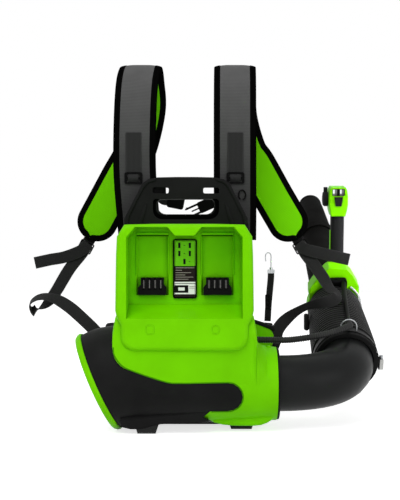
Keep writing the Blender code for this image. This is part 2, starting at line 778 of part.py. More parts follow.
def impeller(fan_frame):
    """Domed hub with twisted blades, turning in the duct with a small tip gap."""
    stop = IMPELLER_X + IMPELLER_LENGTH
    offset = Vector((0, FAN_Y, FAN_Z)) - fan_frame.location
    bm = bmesh.new()
    bore = SHAFT_RADIUS + GAP
    turned(bm, [(0, IMPELLER_X - 0.012), (0.010, IMPELLER_X - 0.0095), (0.018, IMPELLER_X - 0.003),
                (HUB_RADIUS, IMPELLER_X + 0.008), (HUB_RADIUS, stop), (bore, stop),
                (bore, IMPELLER_X + 0.0035), (0, IMPELLER_X + 0.0035)], 28, "X", offset)
    wheel = finish("impeller", bm, grey_plastic(), fan_frame)
    bm = bmesh.new()
    blade_set(bm, BLADES, IMPELLER_X + 0.009, stop - 0.001, HUB_RADIUS - 0.0012,
              DUCT_RADIUS - TIP_GAP, 0.0022, 38, 58)
    bmesh.ops.translate(bm, verts=bm.verts, vec=-fan_frame.location)
    boolean(wheel, finish("impeller_blades", bm, None, fan_frame, hidden=True), "UNION")


def electronics():
    """Terminal blocks with their blades in the bays, and the controller behind the wall."""
    wall_y = -TOWER_DEPTH + RECESS_DEPTH + BAY_DEPTH
    half = BAY_WIDTH / 2 - 0.001
    low, high = BLOCK_LOW, BLOCK_TOP
    for side, label in ((-1, "left"), (1, "right")):
        middle = side * BAY_OFFSET
        face = wall_y - 0.017
        bm = bmesh.new()
        prism(bm, [(middle - half, low), (middle + half, low), (middle + half, low + 0.014),
                   (middle + half - 0.005, low + 0.020), (middle + half - 0.005, high),
                   (middle - half + 0.005, high), (middle - half + 0.005, low + 0.020),
                   (middle - half, low + 0.014)], "Y", face, wall_y + BLOCK_SEAT - GAP)
        block = finish("terminal_block_" + label, bm, black_plastic())
        bm = bmesh.new()
        for k in range(4):
            x = middle + (k - 1.5) * 0.0105
            box(bm, (x - 0.0025, face - 0.01, low + 0.010), (x + 0.0025, wall_y - 0.006, high + 0.01))
        boolean(block, finish("terminal_slots_" + label, bm, None, hidden=True))
        bm = bmesh.new()
        box(bm, (middle - 0.020, wall_y - 0.0065, low + 0.012), (middle + 0.020, wall_y - 0.0030, high - 0.004))
        boolean(block, finish("comb_room_" + label, bm, None, hidden=True))
        bm = bmesh.new()
        box(bm, (middle - 0.0195, wall_y - 0.0052, low + 0.0125), (middle + 0.0195, wall_y - 0.0033, high - 0.0045))
        comb = finish("terminal_blades_" + label, bm, steel())
        bm = bmesh.new()
        for k in range(4):
            x = middle + (k - 1.5) * 0.0105
            box(bm, (x - 0.0004, face + 0.0015, low + 0.0125), (x + 0.0004, wall_y - 0.0040, high - 0.0045))
        boolean(comb, finish("blade_tongues_" + label, bm, None, hidden=True), "UNION")

    back = -(WALL + 0.0015) - GAP
    bm = bmesh.new()
    box(bm, (-0.075, back - 0.004, 0.225), (0.075, back, 0.345))
    sink = finish("controller_heat_sink", bm, material("aluminium", (0.6, 0.6, 0.62), 0.4, 1.0))
    bm = bmesh.new()
    for k in range(9):
        x = -0.068 + k * 0.017
        box(bm, (x - 0.0012, back - 0.020, 0.229), (x + 0.0012, back - 0.002, 0.341))
    boolean(sink, finish("sink_fins", bm, None, hidden=True), "UNION")


# ---------------------------------------------------------------- back plate and base

def back_plate():
    """Black plate behind the housing, ending in the carry handle."""
    right = [
        (PLATE_FOOT_HALF, BASE_HEIGHT + GAP), (PLATE_FOOT_HALF + 0.010, 0.090),
        (PLATE_HALF - 0.008, 0.190), (PLATE_HALF - 0.003, 0.300), (PLATE_HALF, SHOULDER_Z),
        (HANDLE_HALF + 0.048, 0.436), (HANDLE_HALF + 0.031, HANDLE_TOP - 0.013),
        (HANDLE_HALF + 0.019, HANDLE_TOP - 0.0045), (HANDLE_HALF, HANDLE_TOP - 0.0008),
        (0.020, HANDLE_TOP),
    ]
    outline = right + [(-x, z) for x, z in reversed(right)]
    bm = bmesh.new()
    prism(bm, outline, "Y", 0.0, PLATE_THICK)
    edges = [e for e in bm.edges if abs(e.verts[0].co.y - e.verts[1].co.y) < 1e-6
             and min(v.co.z for v in e.verts) > SHOULDER_Z - 0.001]
    bmesh.ops.bevel(bm, geom=edges, offset=0.0028, segments=2, profile=0.5, affect="EDGES")
    plate = finish("back_plate", bm, black_plastic())
    for label, inset, last in (("front", 0.0, OPENING_STEP), ("rear", OPENING_LEDGE, PLATE_THICK + 0.03)):
        half = OPENING_HALF - inset
        corner = OPENING_CORNER - inset * 0.4
        low = OPENING_BOTTOM + inset * 1.2
        high = OPENING_TOP - inset * 0.1
        points = arc(half - corner, low + corner, corner, -90, 0, 5)
        points += [(half, high - 0.004), (half - 0.004, high)]
        bm = bmesh.new()
        prism(bm, points + [(-x, z) for x, z in reversed(points)], "Y", -0.03, last)
        boolean(plate, finish("hand_opening_" + label, bm, None, hidden=True))
    for side in (-1, 1):
        bm = bmesh.new()
        ends = sorted((side * SLOT_INNER, side * SLOT_OUTER))
        prism(bm, rounded_box((ends[0], SLOT_BOTTOM), (ends[1], SLOT_TOP), 0.003, 2), "Y", -0.03,
              PLATE_THICK + 0.03)
        boolean(plate, finish("strap_slot_%d" % side, bm, None, hidden=True))
    return plate


def base_frame():
    """Low base: a slab under the plate and two toes that reach forward under the barrel."""
    bm = bmesh.new()
    left, right = TOE_LEFT[0], TOE_RIGHT[1]
    prism(bm, rounded_box((left, -0.045), (right, BASE_BACK), 0.018, 4), "Z", 0.0, BASE_HEIGHT)
    base = finish("base_frame", bm, black_plastic())
    toes = ((TOE_LEFT, TOE_LEFT_FRONT, "left"), (TOE_RIGHT, TOE_RIGHT_FRONT, "right"))
    for (low, high), front, label in toes:
        bm = bmesh.new()
        rings = []
        for y, inset in ((front, 0.004), (front + 0.006, 0.0), (-0.030, 0.0)):
            rise = 0.004 if inset else 0.0
            rings.append([
                Vector((low + TOE_DRAFT * 0.8 + inset, y, rise)), Vector((high - TOE_DRAFT * 0.8 - inset, y, rise)),
                Vector((high - inset, y, BASE_HEIGHT)), Vector((low + inset, y, BASE_HEIGHT)),
            ])
        loft(bm, rings)
        boolean(base, finish("toe_" + label, bm, None, hidden=True), "UNION")
    boolean(base, barrel_solid("barrel_room", GAP, first=-0.005, last=0.005, per_span=2))
    boolean(base, skirt_solid("skirt_room", GAP))
    bm = bmesh.new()
    prism(bm, rounded_box((left + 0.030, 0.028), (right - 0.030, BASE_BACK - 0.016), 0.010, 3),
          "Z", -0.01, BASE_HEIGHT + 0.01)
    boolean(base, finish("base_window", bm, None, hidden=True))
    return base


# ---------------------------------------------------------------- air path outside

def wand_direction():
    rise, yaw = math.radians(WAND_RISE), math.radians(WAND_YAW)
    return Vector((math.sin(yaw) * math.cos(rise), math.cos(yaw) * math.cos(rise), math.sin(rise)))


def elbow():
    """Bent outlet pipe from the collar to the lower end of the hose."""
    along = wand_direction()
    start = Vector((COLLAR_X + FLANGE_THICK + 3 * GAP, FAN_Y, FAN_Z))
    stop = Vector(HOSE_MIDDLE) - along * HOSE_LENGTH / 2
    first = start + Vector((ELBOW_REACH, 0, 0))
    second = stop - along * ELBOW_RETURN
    steps = 11
    centres, tangents = [], []
    for k in range(steps + 1):
        t = k / steps
        s = 1 - t
        centres.append(start * s ** 3 + first * 3 * s * s * t + second * 3 * s * t * t + stop * t ** 3)
        tangents.append(((first - start) * s * s + (second - first) * 2 * s * t
                         + (stop - second) * t * t).normalized())
    centres.append(stop + along * HOSE_CUFF)
    tangents.append(along)
    side = Vector((0, 1, 0))
    outer, inner = [], []
    for centre, tangent in zip(centres, tangents):
        side = (side - tangent * side.dot(tangent)).normalized()
        up = tangent.cross(side)
        spread = [(math.cos(2 * math.pi * k / 24), math.sin(2 * math.pi * k / 24)) for k in range(24)]
        outer.append([centre + side * ELBOW_RADIUS * c + up * ELBOW_RADIUS * s for c, s in spread])
        bore = ELBOW_RADIUS - ELBOW_WALL
        inner.append([centre + side * bore * c + up * bore * s for c, s in spread])
    bm = bmesh.new()
    pipe(bm, outer, inner)
    finish("outlet_elbow", bm, black_plastic())
    bm = bmesh.new()
    turned(bm, ring_profile(ELBOW_RADIUS - ELBOW_WALL, COLLAR_RADIUS - 0.001, COLLAR_X + GAP,
                            COLLAR_X + GAP + FLANGE_THICK, 0.0012), 36, "X", (0, FAN_Y, FAN_Z))
    finish("outlet_flange", bm, black_plastic())


def hose(parent):
    """Ribbed hose with plain cuffs; it narrows towards the swivel clamp."""
    half = HOSE_LENGTH / 2
    start, stop = -half + 0.002, half + 0.012
    flat = math.cos(math.pi / HOSE_SIDES)
    big, small = (ELBOW_RADIUS + GAP) / flat + HOSE_WALL * 2, HOSE_END_RADIUS - GAP
    taper_from = half - HOSE_TAPER
    profile = [(big, start), (big, start + HOSE_CUFF)]
    run = taper_from - (start + HOSE_CUFF)
    for k in range(HOSE_RIBS):
        base = start + HOSE_CUFF + run * k / HOSE_RIBS
        pitch = run / HOSE_RIBS
        ridge = HOSE_RADIUS + (HOSE_TOP_RADIUS - HOSE_RADIUS) * (k / (HOSE_RIBS - 1)) ** 1.3
        profile.append((ridge - HOSE_GROOVE, base + pitch * 0.25))
        profile.append((ridge, base + pitch * 0.75))
    profile += [(HOSE_TOP_RADIUS - HOSE_GROOVE, taper_from), (small, half - 0.014), (small, stop)]
    bore = (ELBOW_RADIUS + GAP) / flat
    spigot = small - HOSE_WALL
    thin = HOSE_GROOVE + HOSE_WALL
    inner = [(bore, start), (bore, start + HOSE_CUFF + 0.01), (HOSE_RADIUS - thin, -0.04),
             (HOSE_TOP_RADIUS - thin, taper_from - 0.010), (spigot, half - 0.018), (spigot, stop)]
    turn = [(math.cos(2 * math.pi * k / HOSE_SIDES), math.sin(2 * math.pi * k / HOSE_SIDES))
            for k in range(HOSE_SIDES)]
    bm = bmesh.new()
    pipe(bm, [[Vector((r * c, y, r * s)) for c, s in turn] for r, y in profile],
         [[Vector((r * c, y, r * s)) for c, s in turn] for r, y in inner])
    finish("flex_hose", bm, material("hose_rubber", BLACK, 0.6), parent, smooth=20)
    return big


def hose_fittings(frame, cuff_outside):
    """Black cuff, steel band clamp with its screw, and the wire ring that holds the conduit."""
    low = -HOSE_LENGTH / 2 - 0.004
    high = low + 0.030
    inner = cuff_outside + GAP * 2
    outer = inner + CUFF_THICK
    lip = ELBOW_RADIUS + GAP * 5
    bm = bmesh.new()
    turned(bm, [(lip, low), (outer - 0.001, low), (outer, low + 0.001), (outer, high - 0.001),
                (outer - 0.001, high), (inner, high), (inner, low + 0.0055), (lip, low + 0.0055)],
           32, "Y")
    finish("hose_cuff", bm, black_plastic(), frame)

    band_in = outer + GAP * 2
    band_out = band_in + BAND_THICK
    middle = (low + high) / 2
    bm = bmesh.new()
    turned(bm, ring_profile(band_in, band_out, middle - BAND_WIDTH / 2, middle + BAND_WIDTH / 2), 32, "Y")
    band = finish("band_clamp", bm, steel(), frame)
    bm = bmesh.new()
    prism(bm, rounded_box((band_in + 0.0004, -0.020), (band_out + 0.0095, 0.002), 0.0015, 2), "Y",
          middle - BAND_WIDTH / 2 - 0.001, middle + BAND_WIDTH / 2 + 0.001)
    boolean(band, finish("band_housing", bm, None, frame, hidden=True), "UNION")
    bm = bmesh.new()
    turned(bm, [(0, 0.002 + GAP), (0.0038, 0.002 + GAP), (0.0038, 0.0085), (0, 0.0085)], 8, "Z",
           (band_out + 0.0048, middle, 0))
    finish("band_screw", bm, steel(), frame)

    wire = 0.0013
    reach = 0.0155
    centre_x = 0.0035
    points = []
    rise = band_out + 0.006
    for side in (-1, 1):
        x = centre_x + side * reach
        foot = math.sqrt(band_out ** 2 - (abs(x) - wire) ** 2) + GAP + 0.0001
        leg = [(x, middle, foot), (x, middle, rise)]
        points.append(leg)
    bow = []
    for k in range(1, 8):
        angle = math.pi - math.pi * k / 8
        bow.append((centre_x + reach * math.cos(angle), middle, rise + reach * math.sin(angle)))
    cord("conduit_ring", points[0] + bow + list(reversed(points[1])), wire, steel(), frame)
    return band_out, middle


def swivel_clamp(frame):
    """Green clamp round the hose's upper end, with the bracket that carries the handle."""
    half = HOSE_LENGTH / 2
    start = half - CLAMP_REACH
    stop = start + CLAMP_LENGTH
    bm = bmesh.new()
    outline = [
        (-0.055, 0.024), (-0.0555, 0.042), (-0.040, 0.066), (-0.0185, 0.0890), (-0.0125, 0.0930), (0.026, 0.0900),
        (0.039, 0.0765), (0.0545, 0.0495), (0.055, 0.024),
    ]
    prism(bm, outline, "Y", start, stop + 0.012)
    clamp = finish("swivel_clamp", bm, lime_plastic(), frame)
    bm = bmesh.new()
    turned(bm, ring_profile(0.030, HOSE_END_RADIUS + CLAMP_THICK, start, stop, 0.0012), 32, "Y")
    boolean(clamp, finish("clamp_ring", bm, None, frame, hidden=True), "UNION")
    bm = bmesh.new()
    back = HANDLE_Y + EAR_RADIUS
    lug = [(start + 0.012, 0.060), (stop + 0.010, 0.060), (back - 0.001, HANDLE_Z - 0.006)]
    lug += arc(HANDLE_Y, HANDLE_Z, EAR_RADIUS, -10, 150, 8)
    lug += [(start + 0.012, HANDLE_Z - 0.016)]
    prism(bm, lug, "X", HANDLE_X - LUG_HALF, HANDLE_X + LUG_HALF)
    boolean(clamp, finish("clamp_lug", bm, None, frame, hidden=True), "UNION")
    bm = bmesh.new()
    room = CABLE_RADIUS + 2 * GAP
    turned(bm, [(0, start - 0.01), (room, start - 0.01), (room, start + 0.014), (0, start + 0.014)], 16, "Y",
           (CABLE_X, 0, CABLE_Z))
    boolean(clamp, finish("cable_hole", bm, None, frame, hidden=True))
    bm = bmesh.new()
    bore = HOSE_END_RADIUS / math.cos(math.pi / 32)
    turned(bm, [(0, start - 0.02), (bore, start - 0.02), (bore, stop + 0.10), (0, stop + 0.10)], 32, "Y")
    boolean(clamp, finish("clamp_bore", bm, None, frame, hidden=True))
    bm = bmesh.new()
    hole = PIVOT_RADIUS + GAP
    turned(bm, [(0, -0.04), (hole, -0.04), (hole, 0.05), (0, 0.05)], 16, "X", (HANDLE_X, HANDLE_Y, HANDLE_Z))
    boolean(clamp, finish("pivot_hole", bm, None, frame, hidden=True))
    return start


def wand(frame, nozzle_frame):
    """Wand tube with its cone, locking collar and tapered nozzle."""
    half = HOSE_LENGTH / 2
    hose_stop = half + 0.012
    spigot = (HOSE_END_RADIUS - GAP - HOSE_WALL) * math.cos(math.pi / HOSE_SIDES) - GAP
    cone_end = hose_stop + GAP + 0.006 + CONE_LENGTH
    end = cone_end + TUBE_LENGTH
    inner = TUBE_RADIUS - TUBE_WALL
    outside = [(spigot, half - 0.012), (spigot, hose_stop + GAP), (HOSE_END_RADIUS - 0.001, hose_stop + GAP),
               (HOSE_END_RADIUS - 0.001, hose_stop + GAP + 0.006), (TUBE_RADIUS + 0.0015, cone_end),
               (TUBE_RADIUS, cone_end + 0.02), (TUBE_RADIUS, end)]
    inside = [(inner, end), (inner, cone_end), (spigot - TUBE_WALL, hose_stop + 0.004),
              (spigot - TUBE_WALL, half - 0.012)]
    bm = bmesh.new()
    turned(bm, outside + inside, 24, "Y")
    finish("wand_tube", bm, black_plastic(), frame)

    low = nozzle_frame.location.y
    plug = (TUBE_RADIUS - TUBE_WALL) * math.cos(math.pi / 24) - GAP
    shoulder = end + GAP
    tip = end + NOZZLE_LENGTH
    outside = [(plug, end - SOCKET_LENGTH), (plug, shoulder), (TUBE_RADIUS, shoulder),
               (TUBE_RADIUS, shoulder + 0.050), (TUBE_RADIUS - 0.003, shoulder + 0.075),
               (NOZZLE_TIP_RADIUS + 0.003, tip - 0.050), (NOZZLE_TIP_RADIUS, tip - 0.006),
               (NOZZLE_TIP_RADIUS + 0.001, tip - 0.004), (NOZZLE_TIP_RADIUS + 0.001, tip)]
    inside = [(NOZZLE_TIP_RADIUS - TUBE_WALL, tip), (NOZZLE_TIP_RADIUS - TUBE_WALL, tip - 0.012),
              (plug - TUBE_WALL, shoulder + 0.060), (plug - TUBE_WALL, end - SOCKET_LENGTH)]
    bm = bmesh.new()
    turned(bm, outside + inside, 24, "Y", (0, -low, 0))
    finish("nozzle", bm, black_plastic(), nozzle_frame)
    collar_in = TUBE_RADIUS + GAP
    collar_out = collar_in + COLLAR_THICK
    bm = bmesh.new()
    turned(bm, ring_profile(collar_in, collar_out, shoulder + 0.002, shoulder + COLLAR_LENGTH, 0.0012),
           28, "Y", (0, -low, 0))
    finish("locking_collar", bm, black_plastic(), nozzle_frame)


def superellipse(half_x, half_y, power, sides):
    points = []
    for k in range(sides):
        angle = 2 * math.pi * k / sides
        c, s = math.cos(angle), math.sin(angle)
        points.append((half_x * math.copysign(abs(c) ** (2 / power), c),
                       half_y * math.copysign(abs(s) ** (2 / power), s)))
    return points


def handle(frame):
    """Grip with its fork, green head with the window insert, and the controls."""
    bm = bmesh.new()
    rings = []
    for z, wide, deep, shift in ((-0.0125, 0.80, 0.55, 0.0), (-0.004, 0.95, 0.70, 0.0), (0.010, 1.0, 0.88, 0.0),
                                 (0.030, 1.0, 0.98, 0.0015), (0.050, 1.0, 1.02, 0.0010),
                                 (0.070, 1.0, 0.96, 0.0), (GRIP_TOP, 0.99, 1.0, 0.0)):
        rings.append([Vector((x, y + shift, z)) for x, y in
                      superellipse(GRIP_HALF * wide, GRIP_DEPTH * deep, 2.6, 20)])
    loft(bm, rings)
    grip = finish("handle_grip", bm, grey_plastic(), frame)
    bm = bmesh.new()
    room = LUG_HALF + GAP
    box(bm, (-room, -0.04, -0.03), (room, 0.04, EAR_RADIUS + 0.0035))
    boolean(grip, finish("fork_gap", bm, None, frame, hidden=True))
    bm = bmesh.new()
    hole = PIVOT_RADIUS + GAP
    turned(bm, [(0, -0.04), (hole, -0.04), (hole, 0.04), (0, 0.04)], 16, "X")
    boolean(grip, finish("fork_hole", bm, None, frame, hidden=True))
    bm = bmesh.new()
    box(bm, (-0.0062, 0.0065, 0.055), (0.0062, 0.04, 0.0915))
    boolean(grip, finish("trigger_room", bm, None, frame, hidden=True))

    bm = bmesh.new()
    head_low = GRIP_TOP + GAP
    outline = [
        (0.0155, head_low), (0.0185, head_low + 0.010), (HEAD_HALF, head_low + 0.026),
        (HEAD_HALF, head_low + 0.044), (0.0190, HEAD_TOP - 0.006), (0.0155, HEAD_TOP),
    ]
    prism(bm, outline + [(-x, z) for x, z in reversed(outline)], "Y", -HEAD_BACK, HEAD_FRONT)
    edges = [e for e in bm.edges if abs(e.verts[0].co.y - e.verts[1].co.y) < 1e-6]
    bmesh.ops.bevel(bm, geom=edges, offset=0.0035, segments=3, profile=0.5, affect="EDGES")
    head = finish("handle_head", bm, lime_plastic(), frame)
    bm = bmesh.new()
    window = rounded_box((-WINDOW_HALF, WINDOW_BOTTOM), (WINDOW_HALF, WINDOW_TOP), 0.0025, 2)
    prism(bm, window, "Y", -0.06, 0.06)
    boolean(head, finish("window_cut", bm, None, frame, hidden=True))
    bm = bmesh.new()
    prism(bm, button_outline(GAP), "Y", -0.06, -HEAD_BACK + 0.0095)
    boolean(head, finish("button_room", bm, None, frame, hidden=True))

    lining = 0.0016
    bm = bmesh.new()
    room = GAP
    prism(bm, rounded_box((-WINDOW_HALF + room, WINDOW_BOTTOM + room), (WINDOW_HALF - room, WINDOW_TOP - room),
                          0.0022, 2), "Y", -HEAD_BACK + 0.003, HEAD_FRONT - 0.003)
    bezel = finish("window_insert", bm, grey_plastic(), frame)
    bm = bmesh.new()
    for side in (-1, 1):
        ends = sorted((side * 0.0032, side * (WINDOW_HALF - lining)))
        box(bm, (ends[0], -0.06, WINDOW_BOTTOM + lining), (ends[1], 0.06, WINDOW_TOP - lining))
    boolean(bezel, finish("insert_cut", bm, None, frame, hidden=True))


def button_outline(grow):
    return [(-0.0062 - grow, 0.1185 - grow), (0.0062 + grow, 0.1185 - grow), (0.0092 + grow, 0.1385 + grow),
            (-0.0092 - grow, 0.1385 + grow)]


def controls(frame, button_frame, lever_frame, trigger_frame, pin_frame):
    """Pivot bolt, sprung boost button, round cruise lever and trigger."""
    bm = bmesh.new()
    end = GRIP_HALF + 0.0005
    turned(bm, [(0, -end), (PIVOT_RADIUS, -end), (PIVOT_RADIUS, end), (0.0055, end), (0.0055, end + 0.0035),
                (0, end + 0.0035)], 16, "X")
    finish("pivot_bolt", bm, steel(), pin_frame)

    bm = bmesh.new()
    base = button_frame.location
    prism(bm, [(x, z - base.z) for x, z in button_outline(0.0)], "Y", -HEAD_BACK - 0.0035 - base.y,
          -HEAD_BACK + 0.0055 - base.y)
    edges = [e for e in bm.edges if all(v.co.y < -HEAD_BACK - 0.003 - base.y for v in e.verts)]
    bmesh.ops.bevel(bm, geom=edges, offset=0.0012, segments=2, profile=0.5, affect="EDGES")
    finish("boost_button", bm, grey_plastic(), button_frame)

    bm = bmesh.new()
    turned(bm, [(0, 0), (LEVER_RADIUS - 0.001, 0), (LEVER_RADIUS, -0.001), (LEVER_RADIUS, -LEVER_THICK + 0.004),
                (LEVER_RADIUS - 0.003, -LEVER_THICK + 0.001), (LEVER_RADIUS - 0.008, -LEVER_THICK), (0, -LEVER_THICK)],
           28, "X")
    lever = finish("cruise_lever", bm, grey_plastic(), lever_frame)
    bm = bmesh.new()
    prism(bm, rounded_box((-0.006, LEVER_RADIUS - 0.003), (0.006, LEVER_RADIUS + 0.009), 0.003, 3), "X",
          -LEVER_THICK + 0.003, -0.001)
    boolean(lever, finish("lever_tab", bm, None, lever_frame, hidden=True), "UNION")

    bm = bmesh.new()
    points = [(-0.004, 0.003), (0.004, 0.004), (0.0105, -0.002), (0.0095, -0.013), (0.013, -0.026),
              (0.0105, -0.0275), (0.004, -0.022), (-0.004, -0.008)]
    prism(bm, points, "X", -0.0058, 0.0058)
    finish("trigger", bm, grey_plastic(), trigger_frame)


# ---------------------------------------------------------------- harness

def pad_section(half, thick, sides=6):
    """Crowned section of a pad: thick in the middle, drawn in at its bound edges."""
    top = []
    for k in range(sides):
        x = -half + 2 * half * k / (sides - 1)
        share = abs(x) / half
        top.append((x, thick / 2 * (1 - 0.55 * share ** 3)))
    return top + [(x, -z) for x, z in reversed(top)]


def padded_strap(name, points, looks):
    """A shoulder pad along a line; looks gives the way its outer face points there."""
    fine = even_line(points, 0.001)
    faces = smooth_line(looks, 12)
    total = len(fine) - 1
    round_off = round(PAD_WIDTH / 2 / 0.001)
    stops = [round((total - round_off) * k / 22) for k in range(23)]
    stops += [total - round(round_off * (1 - math.sin(math.radians(a)))) for a in (25, 45, 62, 76)]
    rings = []
    for i in stops:
        point = fine[i]
        along = (fine[min(i + 8, total)] - fine[max(i - 8, 0)]).normalized()
        look = faces[round(i / total * (len(faces) - 1))].normalized()
        side = along.cross(look).normalized()
        up = side.cross(along).normalized()
        half = PAD_WIDTH / 2
        left = (total - i) / round_off
        if left < 1:
            half = half * math.sqrt(1 - (1 - left) ** 2)
        rings.append([point + side * x + up * z for x, z in pad_section(half, PAD_THICK)])
    bm = bmesh.new()
    loft(bm, rings)
    return finish(name, bm, padding(), smooth=50)


def shoulder_straps():
    base = BACK_PAD_TOP + GAP
    back, front = (0, -1, 0), (0, 1, 0)
    over = (0, 0.05, 1)
    left = [(-0.1035, 0.030, base), (-0.1035, 0.031, 0.50), (-0.1035, 0.034, 0.60), (-0.104, 0.048, 0.68),
            (-0.1045, 0.085, 0.7183), (-0.099, 0.122, 0.690), (-0.091, 0.138, 0.637), (-0.109, 0.145, 0.554),
            (-0.1436, 0.149, 0.490), (-0.191, 0.150, 0.402), (-0.210, 0.150, 0.366)]
    right = [(0.099, 0.030, base), (0.099, 0.031, 0.50), (0.099, 0.034, 0.60), (0.0995, 0.048, 0.68),
             (0.1008, 0.085, 0.7183), (0.103, 0.122, 0.690), (0.107, 0.138, 0.621), (0.1264, 0.145, 0.5535),
             (0.148, 0.148, 0.5205), (0.182, 0.150, 0.4596), (0.2168, 0.150, 0.3996), (0.2365, 0.150, 0.366)]
    looks = [back, back, back, (0, -1, 0.4), over, (0, 1, 0.4), front, front, front, front]
    padded_strap("shoulder_strap_left", left, looks)
    padded_strap("shoulder_strap_right", right, looks)


def back_and_hip_pads():
    """Back pad with two sewn channels, and the hip pad whose wings curve to the wearer."""
    stations = 10
    rings = []
    for k in range(stations + 1):
        share = k / stations
        z = BACK_PAD_BOTTOM + (BACK_PAD_TOP - BACK_PAD_BOTTOM) * share
        swell = 1 - 0.35 * abs(2 * share - 1) ** 6
        half = BACK_PAD_HALF * (1 - 0.06 * abs(2 * share - 1) ** 5)
        outer = []
        count = 16
        for i in range(count + 1):
            x = -half + 2 * half * i / count
            u = abs(x) / half
            crown = 1 - 0.5 * u ** 6
            channel = 0.30 * math.exp(-((abs(x) - 0.045) / 0.006) ** 2)
            y = PLATE_THICK + GAP + BACK_PAD_THICK * swell * (crown - channel)
            outer.append(Vector((x, y, z)))
        inner = [Vector((half, PLATE_THICK + GAP, z)), Vector((-half, PLATE_THICK + GAP, z))]
        rings.append(outer + inner)
    bm = bmesh.new()
    loft(bm, rings)
    finish("back_pad", bm, padding(), smooth=50)

    centre = PLATE_THICK + GAP + HIP_PAD_THICK / 2
    path = [(-0.163, 0.078), (-0.140, 0.052), (-0.110, centre + 0.006), (-0.060, centre), (0.0, centre),
            (0.060, centre), (0.112, centre + 0.006), (0.148, 0.052), (0.176, 0.078)]
    line = even_line([(x, y, 0) for x, y in path], 0.019)
    line = [Vector((p.x, max(p.y, centre), 0)) for p in line]
    total = len(line) - 1
    rings = []
    middle = (HIP_PAD_TOP + HIP_PAD_BOTTOM) / 2
    for i, point in enumerate(line):
        along = (line[min(i + 1, total)] - line[max(i - 1, 0)]).normalized()
        out = Vector((-along.y, along.x, 0))
        end = abs(2 * i / total - 1)
        half = (HIP_PAD_TOP - HIP_PAD_BOTTOM) / 2 * (1 - 0.30 * end ** 4)
        ring = []
        for u, v in pad_section(half, HIP_PAD_THICK):
            ring.append(Vector((point.x, point.y, middle + u)) + out * v)
        rings.append(ring)
    bm = bmesh.new()
    loft(bm, rings)
    finish("hip_pad", bm, padding(), smooth=50)


def triglide(name, x, z, y):
    """Three-bar slider, lying on the lifter webbing."""
    bm = bmesh.new()
    prism(bm, rounded_box((x - 0.018, z - 0.0115), (x + 0.018, z + 0.0115), 0.003, 2), "Y", y - 0.0028, y)
    glide = finish(name, bm, black_plastic())
    bm = bmesh.new()
    for low in (z - 0.0085, z + 0.0025):
        box(bm, (x - 0.0135, y - 0.02, low), (x + 0.0135, y + 0.02, low + 0.006))
    boolean(glide, finish(name + "_slots", bm, None, hidden=True))


def ladder_lock(name, place, along, look):
    """Ladder-lock buckle at the lower end of a shoulder pad."""
    along, look = Vector(along).normalized(), Vector(look).normalized()
    side = along.cross(look).normalized()
    frame = Matrix((side, look, along)).transposed().to_4x4()
    frame.translation = Vector(place)
    bm = bmesh.new()
    prism(bm, rounded_box((-0.0155, -0.012), (0.0155, 0.012), 0.003, 2), "Y", -0.0025, 0.0025)
    bmesh.ops.transform(bm, matrix=frame, verts=bm.verts)
    lock = finish(name, bm, black_plastic())
    bm = bmesh.new()
    for low in (-0.0095, 0.0030):
        box(bm, (-0.0130, -0.02, low), (0.0130, 0.02, low + 0.0065))
    bmesh.ops.transform(bm, matrix=frame, verts=bm.verts)
    boolean(lock, finish(name + "_slots", bm, None, hidden=True))


def harness_webbing():
    """Lifter webbing, chest strap, lower adjusting webbings and the storage strap."""
    face = 0.030 - PAD_THICK / 2 - GAP
    for x, label in ((-0.1064, "left"), (0.0995, "right")):
        bm = bmesh.new()
        line = []
        for z in (0.497, 0.520, 0.548, 0.577):
            line.append(z)
        rings = []
        for z in line:
            y = face + 0.0028 * max(0.0, (z - 0.50) / 0.08) - WEB_THICK
            rings.append([Vector((x - 0.0135, y, z)), Vector((x + 0.0135, y, z)),
                          Vector((x + 0.0135, y + WEB_THICK, z)), Vector((x - 0.0135, y + WEB_THICK, z))])
        loft(bm, rings)
        finish("lifter_web_" + label, bm, webbing())
        triglide("triglide_" + label, x, 0.4845, face + 0.0004)

    ring_z = 0.4505
    points = []
    for k in range(17):
        angle = math.radians(-80 + 320 * k / 16)
        points.append((0.113 + 0.0072 * math.cos(angle), face - 0.0016, ring_z + 0.0105 * math.sin(angle)))
    cord("strap_ring", points, 0.0014, black_plastic())


